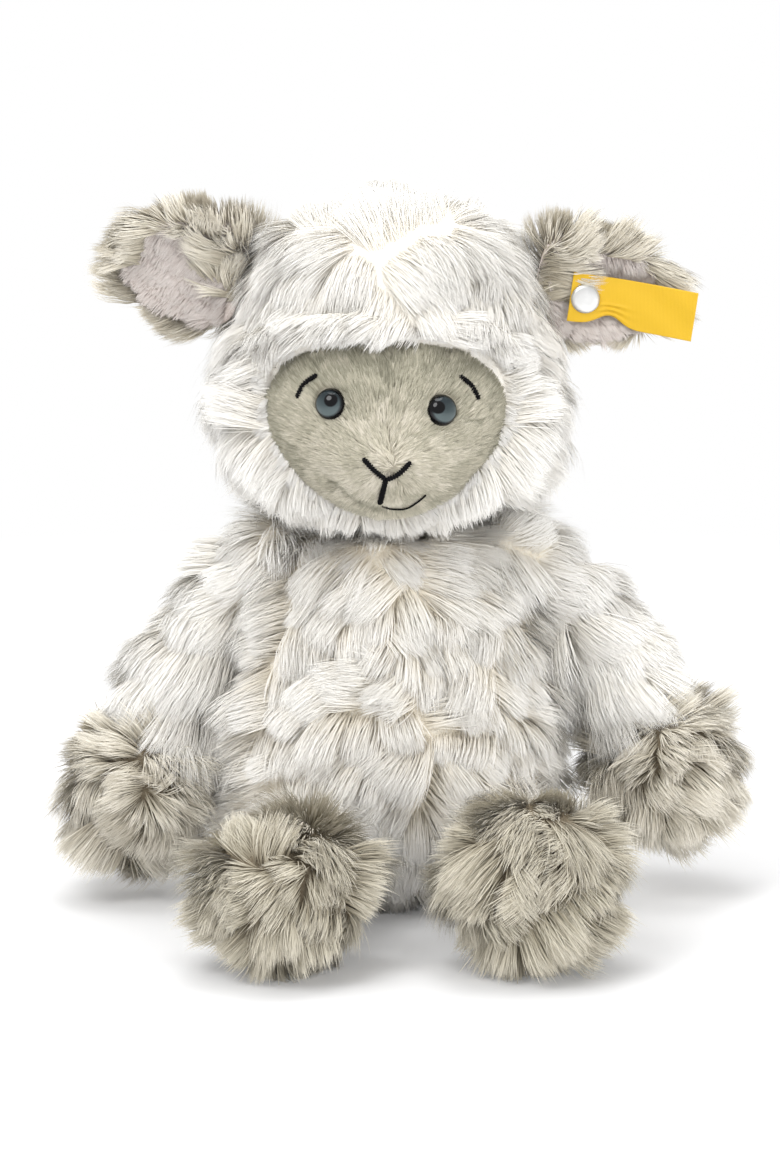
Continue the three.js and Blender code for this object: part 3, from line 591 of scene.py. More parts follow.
def face_share(x, z):
    """1 on the face's edge, less inside it, seen from the front. It is squarer above and narrower below."""
    up = z > FACE_MID
    across = np.abs(x - FACE_X) / FACE_WIDE
    high = np.abs(z - FACE_MID) / np.where(up, FACE_UP, FACE_DOWN)
    power = np.where(up, 3.0, 1.65)
    return (across**power + high**power) ** (1 / power)


def face_ring(p):
    """The face's share at places."""
    return face_share(p[:, 0], p[:, 2])


def mouth_line(x, z, middle):
    """How far a place is above the curve of the mouth."""
    return z - middle - 0.035 * x**2


def face_forward(x, z):
    """How far forward the face stands at a place seen from the front: a dome with raised and sunken forms."""
    dome = 21 + 30 * np.sqrt(np.clip(1 - ((x - FACE_X) / 34.2) ** 2 - ((z - 134.5) / 27.5) ** 2, 0.02, 1))
    muzzle = 5.6 * spot(x / 15.5, (z - 121.5) / 10.5, 1.35)
    snout = 1.2 * spot(x / 6.5, (z - 126) / 4.5)
    parting = 1.1 * hump((x + 1.5) / 2.2) / (1 + np.exp(-(z - 144) / 3))
    seam = 0.35 * hump(x) * (z < 146) * (z > 128)
    lips = hump(mouth_line(x, z, 114.6) / 1.4) * hump((x + 3) / 12.5, 4)
    cheek = 0.8 * spot((np.abs(x) - 12.5) / 2.6, (z - 118.5) / 4)
    socket = sum(1.3 * spot((x - s * 14) / 6.5, (z - 140.5) / 6.5) for s in (-1, 1))
    return dome + muzzle + snout - parting - seam - lips - cheek - socket


def face_point(x, z, proud=0.0):
    """A place on the face seen from the front, proud of it by some millimetres, and its normal."""
    x, z = np.asarray(x, float), np.asarray(z, float)
    e = 0.05
    dx = (face_forward(x + e, z) - face_forward(x - e, z)) / (2 * e)
    dz = (face_forward(x, z + e) - face_forward(x, z - e)) / (2 * e)
    out = unit(vectors(-dx, -1, -dz))
    return vectors(x, -face_forward(x, z), z) + out * proud, out


def face_form():
    rings, sides, margin = 44, 140, 1.04
    rho = np.linspace(0, margin, rings)[1:, None]
    a = circle(sides)
    x = FACE_WIDE * np.cos(a)
    z = np.where(np.sin(a) > 0, FACE_UP, FACE_DOWN) * np.sin(a)
    share = face_share(FACE_X + x, FACE_MID + z)
    front, _ = face_point(FACE_X + rho * x / share, FACE_MID + rho * z / share)
    middle = np.array([FACE_X, 0, FACE_MID])
    back = middle + (front[::-4] - middle) * (0.985, 1, 0.985)
    back[..., 1] = np.maximum(back[..., 1], FACE_BACK) + FACE_SHELL
    first, _ = face_point(FACE_X, FACE_MID)
    return ringed(first, np.concatenate([front, back]), (FACE_X, FACE_BACK + FACE_SHELL, FACE_MID))


# Head form
PIVOT = np.array([0, 0, 103.0])
HEAD_SHARES = [
    (0, 0), (0.6, 0.06), (0.92, 0.19), (1, 0.34), (0.955, 0.52), (0.82, 0.73), (0.53, 0.92), (0, 1),
]
HEAD_WIDE, HEAD_TALL, HEAD_DEEP, HEAD_FORWARD, HEAD_DROP = 47.5, 88.5, 0.9, 6, 1.5
HEAD_PILE, CROWN, HOOD_LOW = 5, 160, 112


def head_place(p):
    return p * (1, HEAD_DEEP, 1) + (0, -HEAD_FORWARD, PIVOT[2] - HEAD_DROP)


def head_form():
    """The skin under the hood's pile, rolled forward around the face."""
    head = revolved(pointed(HEAD_SHARES, 60, (HEAD_WIDE, HEAD_TALL)), 90, head_place)
    roll = hump((face_ring(head.verts) - 1.2) / 0.17) * (head.verts[:, 1] < -10)
    crown = climb(head.verts[:, 2] - CROWN, 20)
    return Form(head.verts + head.normals * (-HEAD_PILE + 3 * roll + 4.2 * crown)[:, None], head.tris)


# Ear form
EAR_REACH = {"left": 37, "right": 33.5}
EAR_HALF, EAR_THICK, EAR_PILE = 14.5, 0.46, 1.2
EAR_SHARES = [(0, 0), (0.78, 0.04), (0.98, 0.2), (1, 0.42), (0.84, 0.68), (0.5, 0.9), (0, 1)]
EAR_TILT = {"left": 7, "right": 13}
EAR_ROOT = (37, -4, 166.0)


def ear_turn(name):
    return turn_about((0, 1, 0), EAR_TILT[name])


def ear_place(name):
    turn, root = ear_turn(name), mirrored(EAR_ROOT, name)
    return lambda p: root + mirrored(p, name) @ turn.T


def ear_form(name):
    """A leaf whose front is hollow: its back is full, and its front dips between the rims."""
    line = pointed(EAR_SHARES, 34, 1)
    h = np.maximum(line[:, 0:1] * EAR_HALF - EAR_PILE, 0)
    out = line[:, 1:2] * EAR_REACH[name] + EAR_PILE
    a = circle(48)
    up, deep = np.cos(a), np.sin(a)
    dip = 0.62 * h * EAR_THICK * (1 - up**2) ** 1.2 * (deep < 0)
    back = h * EAR_THICK * np.where(deep > 0, deep, deep * 0.75) + dip * 1.9
    rings = vectors(out, back, h * up)[1:-1]
    return ringed((out[0, 0], 0, 0), rings, (out[-1, 0], 0, 0), ear_place(name))


# Arm forms
ARM_LONG, ARM_HALF, WRIST = 106, 14, 0.64
SHOULDER, ARM_START = (33, 2, 90.0), (-8, 0, 9)
SLEEVE_SHARES = [(0, 0), (0.72, 0.02), (0.9, 0.1), (0.95, 0.34), (1, 0.5), (1.04, WRIST)]
PAW_SHARES = [(1.04, WRIST), (1.44, 0.72), (1.56, 0.81), (1.4, 0.91), (0.9, 0.975), (0, 1)]
ARM_POSES = {"left": ((42, 0, -20), (44, -10, -79)), "right": ((37, 0, -27), (35.5, -10, -84.5))}
SLEEVE_PILE, PAW_PILE = 4.8, 5.5


def arm_place(name):
    """Bends a straight arm along a curve from the shoulder over the elbow to the tip of the paw."""
    start, elbow, tip = mirrored([ARM_START, *ARM_POSES[name]], name)
    shoulder = mirrored(SHOULDER, name)

    def place(p):
        t = p[:, 2:3] / ARM_LONG
        c = np.clip(t, 0, 1)
        middle = (1 - t) ** 2 * start + 2 * t * (1 - t) * elbow + t**2 * tip
        along = unit(2 * (1 - c) * (elbow - start) + 2 * c * (tip - elbow))
        across = unit(np.cross([0, 1, 0], along))
        over = np.cross(along, across)
        return shoulder + middle + across * p[:, 0:1] + over * p[:, 1:2]

    return place


def arm_outline(shares, count, inset):
    line = spline(shares, count) * (ARM_HALF, ARM_LONG)
    line[:, 0] = np.maximum(line[:, 0] - inset, 0)
    return line


def sleeve_form(name):
    return revolved(closed(arm_outline(SLEEVE_SHARES, 40, SLEEVE_PILE)[3:]), 48, arm_place(name))


def paw_form(name):
    line = arm_outline(PAW_SHARES, 30, PAW_PILE)
    line[:, 1] = ARM_LONG * WRIST + (line[:, 1] - ARM_LONG * WRIST) * 0.86
    return revolved(closed(line), 48, arm_place(name))


# Leg forms
LEG_SPLAY = {"left": 11, "right": 1.5}
FEET = {"left": (24.5, 20, 25), "right": (24, 20, 22.5)}
HIP = (25, -20, 18.0)
THIGH, SHANK, LEG_LONG, LEG_PILE = 18.5, 15, 60, 5.5


def leg_place(name):
    turn = turn_about((0, 0, 1), SIDES[name] * LEG_SPLAY[name])
    return lambda p: mirrored(HIP, name) + p @ turn.T


def leg_form(name):
    rise = math.atan2(FEET[name][2] - THIGH, LEG_LONG)
    a = np.linspace(-np.pi / 2, math.acos(SHANK / THIGH), 22)
    arc = np.stack([(THIGH - LEG_PILE) * np.cos(a), (THIGH - LEG_PILE) * np.sin(a)], 1)
    shank = [(SHANK - LEG_PILE, LEG_LONG * 0.45), (SHANK * 0.93 - LEG_PILE, LEG_LONG * 0.9)]
    line = closed(np.concatenate([arc, shank]))
    line[0, 0] = 0
    turn = turn_about((1, 0, 0), 90 - math.degrees(rise))
    place = leg_place(name)
    return revolved(line, 40, lambda p: place(p @ turn.T))


def foot_form(name):
    place, middle = leg_place(name), (0, -LEG_LONG, FEET[name][2] - THIGH)
    return ellipsoid(np.array(FEET[name]) - LEG_PILE, 28, lambda p: place(p + middle))


# Tail form
TAIL_SHARES = [(0, 0), (0.75, 0.08), (0.95, 0.35), (1, 0.62), (0.7, 0.9), (0, 1)]
TAIL_HALF, TAIL_LONG, TAIL_DROP = 7.5, 24, 32
TAIL_ROOT = np.array([0, 37.886, 27.0])


def tail_form():
    turn = turn_about((1, 0, 0), -TAIL_DROP - 90)
    line = pointed(TAIL_SHARES, 24, (TAIL_HALF, TAIL_LONG)) * (0.62, 0.94)
    return revolved(line, 32, lambda p: TAIL_ROOT + p @ turn.T)


# Stuffed skins
torso, head, face, tail = torso_form(), head_form(), face_form(), tail_form()
neck = ellipsoid((15.5, 15.5, 13), 20, lambda p: p + PIVOT)
skin_piece("torso_body", torso, WHITE_CLOTH, "torso", "white_plush", ["torso_skin", "torso_stuffing"])
skin_piece("head_body", head, HOOD_CLOTH, "head", "white_plush", ["head_hood", "head_stuffing"])
skin_piece("face_body", face.grown(-0.4), VELOUR_CLOTH, "head", "face_velour", ["face_panel"])
skin_piece("neck_body", neck, WHITE_CLOTH, "neck", "white_plush", ["neck_skin", "neck_stuffing"])
skin_piece("tail_body", tail, WHITE_CLOTH, "tail", "white_plush", ["tail"])


def side_skin(name, part, form, material, limb, slot, nodes):
    nodes = [f"{name}_{own}" for own in nodes]
    skin_piece(f"{name}_{part}_body", form, material, f"{name}_{limb}", slot, nodes)
    return form


ears, arms, paws, legs, feet = {}, {}, {}, {}, {}
for name in SIDES:
    ears[name] = side_skin(name, "ear", ear_form(name), LINING_CLOTH,
                           "ear", "taupe_plush", ["ear_outer", "ear_lining"])
    arms[name] = side_skin(name, "sleeve", sleeve_form(name), WHITE_CLOTH,
                           "arm", "white_plush", ["sleeve", "arm_stuffing"])
    paws[name] = side_skin(name, "paw", paw_form(name), TAUPE_CLOTH, "arm", "taupe_plush", ["paw"])
    legs[name] = side_skin(name, "leg", leg_form(name), WHITE_CLOTH,
                           "leg", "white_plush", ["leg_skin", "leg_stuffing"])
    feet[name] = side_skin(name, "foot", foot_form(name), TAUPE_CLOTH,
                           "leg", "taupe_plush", ["foot"])


# Torso pile
WHORL = np.array([2.0, -38, 59])
CHEST_SPLIT = 52


def torso_comb(p, n):
    x, y, z = p.T
    away = p - WHORL
    near = hump(np.linalg.norm(away, axis=1, keepdims=True) / 10)
    radial = unit(away)
    swirl = np.cross(n, radial)
    down = unit(vectors(x * 0.018, y * 0.006, -1))
    sweep = (spot((x + 12) / 14, (z - 64) / 11) * (y < 0))[:, None]
    down = down * (1 - 0.7 * sweep) + sweep * (-1.0, 0, -0.15)
    top = climb(z - TORSO_NECK, 8)[:, None]
    outward = unit(vectors(x, y - 3, 0))
    return radial * near + swirl * near * 0.5 + down * (1 - near) + outward * top * 2


def torso_keep(p, n):
    under = np.where(n[:, 2] < -0.75, 0.35, 1.0)
    top = np.where((p[:, 2] > TORSO_NECK) & (np.hypot(p[:, 0], p[:, 1]) < 12), 0.0, 1.0)
    return under * top


def torso_extra(p, n):
    x, _, z = p.T
    far = np.linalg.norm(p - WHORL, axis=1)
    top = climb(z - 86, 8)
    sides = climb(np.abs(x) - 30, 10) * (z > 30)
    rows = waves(p, z, 13, 31) * (1 - top)
    return 20 * hump(far / 6) - 13 * top + 7 * sides + 11 * rows, 1 + 0.15 * top + 0.3 * sides


def chest_painted_shadow(p, n, p1, p2, tone):
    """Fibres high on the chest get a darker tone: painted shadow of the head."""
    x, y, z = p.T
    return p1, p2, tone - 0.3 * (climb(z - 62, 24) * (y < 0) * (np.abs(x) < 36))


LONG = dict(length=(11.5, 0.12), lift=(27, 7), spacing=7.5, width=0.22, swing=38, jitter=26, uneven=0.1,
            gather=0.28, blunt=0.7, streak=0.1, fine=0.13, soft=0.86)
coat("torso", torso, WHITE, torso_comb, torso_keep, 0, CHEST_SPLIT, (6, 3), {"width": 0.32, "bundle": 8},
     extra=torso_extra, change=chest_painted_shadow, **LONG)

# Head pile
FACE_FRONT, HEAD_BACK, HEAD_SPLIT = -15, -6, 140


def off_face(p, back):
    """Directions away from the face's middle."""
    return unit(vectors((p[:, 0] - FACE_X) / FACE_WIDE, back, (p[:, 2] - FACE_MID) / 26))


def brow_edge(p):
    """1 on the hood's edge over the face, beside its middle tuft, where the pile turns outward."""
    return hump((face_ring(p) - 1.0) / 0.05) * (p[:, 2] > 146) * climb(np.abs(p[:, 0]) - 8, 6)


def head_comb(p, n):
    x, y, z = p.T
    rim = off_face(p, 0.15)
    brow = unit(vectors(x * 0.03, -0.3, -1))
    forward = blend(unit(rim + (0, 0.1, -0.6)), brow, step((z - 151 + 0.1 * np.abs(x)) / 3))
    forward = blend(forward, rim, 0.7 * brow_edge(p) * (y < FACE_FRONT))
    behind = unit(vectors(x * 0.6, y * 0.4, -30))
    aside = unit(vectors(0.9 * drift(p, 24, 8) + x * 0.02, 1, 0))
    steep = climb(n[:, 2] - 0.75, 0.15) * climb(z - 164, 10)
    return blend(blend(behind, forward, step(-(y + 8) / 5)), aside, steep)


def head_extra(p, n):
    x, y, z = p.T
    ring, brow = face_ring(p), brow_edge(p)
    rim = hump((ring - 1.03) / 0.13) * (y < -12) * (z < 152)
    crown = climb(z - CROWN, 10)
    jaw = climb(122 - z, 7) * hump(x / 27, 4) * (y < -10)
    fringe = hump((ring - 1.1) / 0.15) * (z > 150) * (y < FACE_FRONT)
    high = climb(n[:, 2] - 0.8, 0.15)
    corner = hump((z - HOOD_LOW) / 8) * climb(np.abs(x) - 20, 8) * (y < 5)
    rise = 12 * rim - 13 * crown - 4 * high + 6 * fringe + 4 * jaw + 16 * brow
    share = 1 - 0.38 * jaw - 0.14 * rim - 0.05 * fringe + 0.12 * high + 0.22 * corner - 0.25 * brow
    return rise, share


def head_keep(p, n):
    x, y, z = p.T
    middle = (z > 148) & (np.abs(x) < 10)
    inside = (face_ring(p) < np.where(middle, 1.03, 0.98)) & (y < FACE_FRONT)
    under = (z < HOOD_LOW) & (np.hypot(x, y) < 17)
    return ~(inside | under)


def clear_of_face(p, n, p1, p2, tone):
    """Fibres whose tips would hang over the face end at its rim. Their tones sit below the torso's, and lower
    still where the pile faces up: painted shade that tempers the light from above.
    """
    start, end = face_ring(p), face_ring(p2)
    tuft = hump((p[:, 0] + 1.5) / 3.5) * (p[:, 2] > 150)
    rim = 1.02 - 0.22 * tuft
    over = (end < rim) & (p2[:, 1] < FACE_FRONT)
    held = np.clip((start - rim) / np.maximum(start - end, 1e-6), 0.3, 1)
    share = 1 - (1 - np.where(over, held, 1)[:, None]) * 0.9
    # painted shade: pile that faces up is given a darker tone
    top = climb(n[:, 2] - 0.3, 0.5)
    return p + (p1 - p) * share, p + (p2 - p) * share, 0.27 - 0.2 * top + 0.35 * (tone - 0.5)


def edge_keep(p, n):
    ring = face_ring(p)
    return (ring > 0.96) & (ring < 1.1) & (p[:, 1] < FACE_FRONT) & (p[:, 2] > HOOD_LOW)


def edge_comb(p, n):
    """Short pile on the hood's edge: it stands off the face and leans down."""
    return off_face(p, 0) + (0, 0, -0.6) + 0.4 * tousle(p, 12, 51)


HEAD_LONG = dict(length=(11, 0.1), lift=(26, 3.5), spacing=7, width=0.2, swing=30, jitter=18, mound=3,
                 uneven=0.14, gather=0.2, streak=0.07, blunt=0.55, fine=0.15, soft=0.93, seed=2)
coat("head", head, BRIGHT, head_comb, head_keep, HEAD_BACK, HEAD_SPLIT, (8, 3.2), {"width": 0.32},
     extra=head_extra, change=clear_of_face, **HEAD_LONG)
fur("hood_edge_fur", head, "head", "white_plush", BRIGHT, 16, edge_comb, change=clear_of_face, keep=edge_keep,
    length=(4.2, 0.15), lift=(48, 9), spacing=3, width=0.17, segments=2, swing=20, jitter=24, streak=0.08,
    fine=0.2, soft=0.93, seed=6)

# Neck and tail pile
fur("neck_fur", neck, "neck", "white_plush", WHITE, 2, lambda p, n: unit(vectors(p[:, 0], p[:, 1], -8)),
    keep=lambda p, n: np.abs(n[:, 2]) < 0.6, length=(11, 0.1), lift=(18, 5), spacing=6, width=0.36)
fur("tail_fur", tail, "tail", "white_plush", WHITE, 2.4, lambda p, n: np.tile([0, 0.5, -0.85], (len(p), 1)),
    length=(10, 0.12), lift=(28, 9), spacing=5, width=0.3)

# Face nap
EYES = {"left": (13.0, 139.5), "right": (-15.0, 141.0)}
EYE_RADIUS = 4.1
FACE_SPLIT = 136


def face_keep(p, n):
    held = (n[:, 1] < -0.1) & (face_ring(p) < 1.0)
    for ex, ez in EYES.values():
        held &= np.hypot(p[:, 0] - ex, p[:, 2] - ez) > EYE_RADIUS - 0.3
    return held


def face_comb(p, n):
    """Nap that fans out from the nose and stands up above the brows, parted in the middle."""
    x, _, z = p.T
    fan = unit(vectors(x, 0, z - 127.0))
    up = vectors(0.35 * np.sign(x) * np.minimum(np.abs(x) / 6, 1), 0, 1)
    high = step((z - 146) / 2.5)[:, None]
    return fan * (1 - 0.6 * high) + up * 0.6 * high


def face_change(p, n, p1, p2, tone):
    """The velour's tones: pale muzzle and bridge and a darker parting, with painted shade on the rim and brow
    under the hood's pile and along the crease past the mouth, and painted light on one cheek.
    """
    x, _, z = p.T
    muzzle = spot(x / 17, (z - 122) / 12, 1.3)
    bridge = spot(x / 7, (z - 136) / 7)
    # painted shade: darker towards the face's rim and above the brows, under the hood's pile
    rim = climb(face_ring(p) - 0.72, 0.28)
    brow = step((z - 143) / 2)
    level = 0.63 + 0.12 * muzzle + 0.09 * bridge - 0.13 * rim - 0.19 * brow
    # painted light: one cheek is lighter, as if lit from that side
    level += 0.09 * spot((x + 17) / 8, (z - 122) / 11)
    level -= 0.14 * hump((x + 1.5) / 1.4) * (z > 142)
    # painted shade: the crease that carries the mouth on past its thread
    level -= 0.22 * hump(mouth_line(x, z, 114.9) / 0.9) * hump((x + 9) / 5.5, 4)
    return p1, p2, level + 0.75 * (tone - 0.5)


NAP = dict(length=(2.7, 0.08), lift=(19, 4), spacing=4, width=0.13, segments=2, change=face_change,
           swing=12, jitter=4, gather=0.0, blunt=0.0, stray=0.12, fine=0.55, curl=0.1, mound=0, streak=0.13,
           bundle=5, seed=3)
fur("face_nap_high", face, "head", "face_velour", VELOUR, 22, face_comb,
    keep=lambda p, n: face_keep(p, n) * (p[:, 2] > FACE_SPLIT), **NAP)
fur("face_nap_low", face, "head", "face_velour", VELOUR, 22, face_comb,
    keep=lambda p, n: face_keep(p, n) * (p[:, 2] <= FACE_SPLIT), **NAP)


# Ear pile
def ear_pile(name):
    turn, root, reach = ear_turn(name), mirrored(EAR_ROOT, name), EAR_REACH[name]

    def own(p):
        """Places in the ear's own frame: out along it, back, and up across it."""
        return mirrored((p - root) @ turn, name)

    def world(v):
        return mirrored(v, name) @ turn.T

    def outer_keep(p, n):
        q = own(p)
        out, _, up = q.T
        near = (out < 11) & (up > -5)
        tip = (out > reach - 6) & (up > -2)
        return ((own(p + n) - q)[:, 1] >= -0.1) | near | tip | (up > 9)

    def outer_comb(p, n):
        out, back, up = own(p).T
        far = climb(out - 0.6 * reach, 8)
        low = up < -7
        rise = np.where(up > 6, 0.95, 0.1) * (1 - 0.9 * far)
        flow = vectors(0.25 + 1.2 * far + 0.8 * low, -0.1 * (1 - far), rise)
        flow[low & (drift(p, 10, 12) > 0.6)] = (0.3, 0, -1)
        flow[(out < 14) & (back < 1) & (up < 8)] = (1.0, -0.1, -0.08)
        return world(flow)

    def outer_extra(p, n):
        q = own(p)
        out, _, up = q.T
        crest = climb((own(p + n) - q)[:, 2] - 0.2, 0.4) * (out < 0.7 * reach)
        gap = hump((out - 13.5) / 1.8)
        low = up < -7
        near = climb(7 - out, 5)
        tip = climb(out - reach + 8, 6)
        rise = 36 * crest * (1 - gap) + 10 * near - 12 * low
        return rise, (1 - 0.25 * crest) * (1 - 0.35 * low) * (1 - 0.15 * tip)

    def lining_keep(p, n):
        q = own(p)
        return ((own(p + n) - q)[:, 1] < 0.25) & (q[:, 0] > 4)

    fur(f"{name}_ear_fur", ears[name], f"{name}_ear", "taupe_plush", TAUPE_PAINTED_LIGHT, 9, outer_comb,
        extra=outer_extra, keep=outer_keep, length=(11.5, 0.14), lift=(20, 7), spacing=6, width=0.24,
        swing=16, jitter=12, gather=0.2, streak=0.25, fine=0.4, seed=4)
    fur(f"{name}_ear_nap", ears[name], f"{name}_ear", "ear_velour", LINING, 13,
        lambda p, n: world(np.tile([0.5, 0, -0.9], (len(p), 1))), keep=lining_keep, length=(3.4, 0.1),
        lift=(20, 5), spacing=4, width=0.18, segments=2, swing=15, jitter=8, gather=0.0, streak=0.25)


for name in SIDES:
    ear_pile(name)

# Arm and leg pile
SHAGGY = dict(length=(9.6, 0.16), lift=(33, 12), spacing=6, width=0.22, swing=30, jitter=34, gather=0.28,
              mound=12, uneven=0.18, blunt=0.6, streak=0.3, bundle=8, fine=0.35, stray=0.14, seed=5)
PAW_WHORL = (0, -22.0, 4)
SOLE_RISE, SOLE_SEAM = 6, 8


def arm_pile(name):
    place = arm_place(name)
    line = place(vectors(0, 0, np.linspace(0, ARM_LONG, 60)))
    whorl = place(np.array([[0.0, 0, ARM_LONG * 0.72]]))[0] + PAW_WHORL

    def along(p):
        i = np.clip(nearest(p, line), 1, len(line) - 2)
        return unit(line[i + 1] - line[i - 1])

    def arm_extra(p, n):
        inner = np.clip(-n[:, 0] * SIDES[name] * 1.5, 0, 1)
        at = nearest(p, line)
        cuff = climb(at / len(line) - 0.53, 0.1)
        rows = waves(p, at * ARM_LONG / len(line), 14, 35)
        return 12 * inner + 4 * rows, 1 + 0.7 * inner - 0.4 * cuff

    def paw_extra(p, n):
        far = np.linalg.norm(p - whorl, axis=1)
        return 24 * hump(far / 10), np.ones_like(far)

    fur(f"{name}_sleeve_fur", arms[name], f"{name}_arm", "white_plush", BRIGHT, 5.5,
        lambda p, n: along(p) + mirrored((0.1, -0.05, -0.15), name), extra=arm_extra,
        keep=lambda p, n: torso_inside(p, -7) < 0, **{**LONG, "lift": (21, 5), "jitter": 18, "swing": 28})
    fur(f"{name}_paw_fur", paws[name], f"{name}_arm", "taupe_plush", TAUPE_PAINTED_LIGHT, 6.5,
        lambda p, n: unit(p - whorl) * 0.3 + along(p) + 0.9 * tousle(p, 22, 45), extra=paw_extra, **SHAGGY)


def leg_pile(name):
    _, deep, high = FEET[name]
    sole, ankle = leg_place(name)(np.array([
        [0.0, -LEG_LONG - deep, high - THIGH + SOLE_RISE], [0.0, -LEG_LONG, high - THIGH],
    ]))
    forward = unit(ankle - mirrored(HIP, name))

    def from_sole(p):
        """From the nearest place on the sole's short cross seam."""
        away = p - sole
        away[:, 0] -= np.clip(away[:, 0], -SOLE_SEAM, SOLE_SEAM)
        return away

    def foot_extra(p, n):
        far = np.linalg.norm(from_sole(p), axis=1)
        top = climb(p[:, 2] - sole[2] - 4, 8)
        return 8 * hump(far / 7) - 2 * top, 1 - 0.12 * top

    fur(f"{name}_foot_fur", feet[name], f"{name}_leg", "taupe_plush", TAUPE, 6.5,
        lambda p, n: 0.3 * unit(from_sole(p)) + tousle(p, 24, 41) + (0, 0, -0.9), extra=foot_extra, **SHAGGY)
    fur(f"{name}_leg_fur", legs[name], f"{name}_leg", "white_plush", WHITE, 4.5,
        lambda p, n: np.tile(forward * 0.6 + (0, 0, -0.55), (len(p), 1)),
        keep=lambda p, n: torso_inside(p, -8) < 0, length=(12, 0.1), lift=(30, 9), spacing=7, width=0.27)


for name in SIDES:
    arm_pile(name)
    leg_pile(name)


# Eyes
PUPILS = {"left": (0.72, 0.575), "right": (0.60, 0.59)}
EYE_MAP = 0.45
SHANK_RADIUS, SHANK_END, EYE_DOME = 1.3, -7.0, 3.2


def domed(base, dome):
    """An outline from base over a dome to the axis."""
    return np.concatenate([base, dome[:-1], [[0, dome[-1, 1]]]])


def eye_material(name, pupil_place):
    """A painted eye under clear plastic: black rim, slate iris and a round pupil."""
    material, tree, shader = nodes_of(name)
    place = own_map(tree)

    def distance(centre):
        return node(tree, "VectorMath", {0: place, 1: (*centre, 0)}, operation="DISTANCE").outputs["Value"]

    iris = ramp(tree, distance((0.5, 0.5)), {
        0.0: (0.055, 0.074, 0.077), 0.33: (0.09, 0.118, 0.121), 0.37: (0.025, 0.032, 0.034),
        0.39: (0.003, 0.003, 0.004),
    })
    split = node(tree, "SeparateXYZ", {"Vector": place}).outputs
    shadow = ramp(tree, split["Y"], {0.3: (1, 1, 1), 0.7: (0.25, 0.27, 0.3)})
    iris = mixed(tree, "MULTIPLY", 1.0, iris, shadow)
    hole = ramp(tree, distance(pupil_place), {0.17: (1, 1, 1), 0.205: (0, 0, 0)})
    wire(tree, shader, {
        "Base Color": mixed(tree, "MIX", hole, iris, (0.001, 0.001, 0.0015, 1)),
        "Roughness": 0.07, "Specular IOR Level": 0.3,
    })
    return material


def build_eye(name):
    at, out = (found[0] for found in face_point(*np.array(EYES[name])[:, None]))
    up = unit(np.array([0, 0, 1.0]) - out * out[2])
    right = np.cross(up, out)
    a = np.linspace(0, np.pi / 2, 22)
    dome = np.stack([EYE_RADIUS * np.cos(a), 0.3 + EYE_DOME * np.sin(a)], 1)
    flange = [[EYE_RADIUS - 0.5, -0.5], [EYE_RADIUS - 0.08, -0.1]]
    outline = domed([[0, SHANK_END], [SHANK_RADIUS, SHANK_END], [SHANK_RADIUS, -0.6], *flange], dome)
    form = revolved(outline, 64, lambda p: at + p[:, 0:1] * right + p[:, 1:2] * up + p[:, 2:3] * out)
    material = eye_material(f"{name}_eye_plastic", PUPILS[name])
    obj = piece_from(f"{name}_eye_button", form.verts, form.tris.tolist(), material, "head", "eye_plastic")
    local = form.verts - at
    towards_nose = local @ right * -SIDES[name]
    uv = np.stack([0.5 + towards_nose / EYE_RADIUS * EYE_MAP, 0.5 + local @ up / EYE_RADIUS * EYE_MAP], 1)
    index = np.empty(len(obj.data.loops), np.int32)
    obj.data.loops.foreach_get("vertex_index", index)
    obj.data.uv_layers.new(name=MAP).uv.foreach_set("vector", uv[index].astype(np.float32).ravel())
    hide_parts(f"{name}_eye")


for name in SIDES:
    build_eye(name)


# Stitching
THREAD_SIDES, THREAD_STEP = 10, 0.12


def twisted_thread(points, radius, pitch):
    """A tube along points whose thickness swells and twists, as plied thread does."""
    length = np.concatenate([[0], np.cumsum(np.linalg.norm(np.diff(points, axis=0), axis=1))])
    count, sides = max(int(length[-1] / THREAD_STEP), 4), THREAD_SIDES
    at = np.linspace(0, length[-1], count)
    line = np.stack([np.interp(at, length, points[:, i]) for i in range(3)], 1)
    along = unit(np.gradient(line, axis=0))
    normal = unit(np.cross(along, [0.13, 0.2, 0.97]))
    other = np.cross(along, normal)
    a = circle(sides)
    twist = (2 * np.pi * at / pitch)[:, None]
    swell = 1 + 0.38 * np.cos(2 * (a[None] - twist)) + 0.1 * np.cos(5 * a[None] + 3 * twist)
    ends = np.sqrt(np.clip(np.minimum(at, length[-1] - at) / radius, 0.05, 1))[:, None]
    r = (radius * swell * ends)[..., None]
    round_line = np.cos(a)[None, :, None] * normal[:, None] + np.sin(a)[None, :, None] * other[:, None]
    ring = line[:, None] + r * round_line
    verts = np.concatenate([ring.reshape(-1, 3), line[:1], line[-1:]])
    faces = []
    for low in range(0, (count - 1) * sides, sides):
        for j in range(sides):
            k = (j + 1) % sides
            faces.append((low + j, low + k, low + sides + k, low + sides + j))
    first, last, top = len(verts) - 2, len(verts) - 1, (count - 1) * sides
    for j in range(sides):
        k = (j + 1) % sides
        faces.append((first, k, j))
        faces.append((last, top + j, top + k))
    return verts, faces


def stitching(name, lines, radius, pitch, node, proud=None):
    """Embroidery on the face: each line is a list of places seen from the front."""
    verts, faces = [], []
    for line in lines:
        dense = spline(line, 40)
        at, _ = face_point(dense[:, 0], dense[:, 1], radius * 0.6 + 0.6 if proud is None else proud)
        v, f = twisted_thread(at, radius, pitch)
        base = sum(len(x) for x in verts)
        verts.append(v)
        faces += [tuple(i + base for i in face) for face in f]
    obj = piece_from(name, np.concatenate(verts), faces, THREAD, "head", "black_thread")
    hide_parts(node)


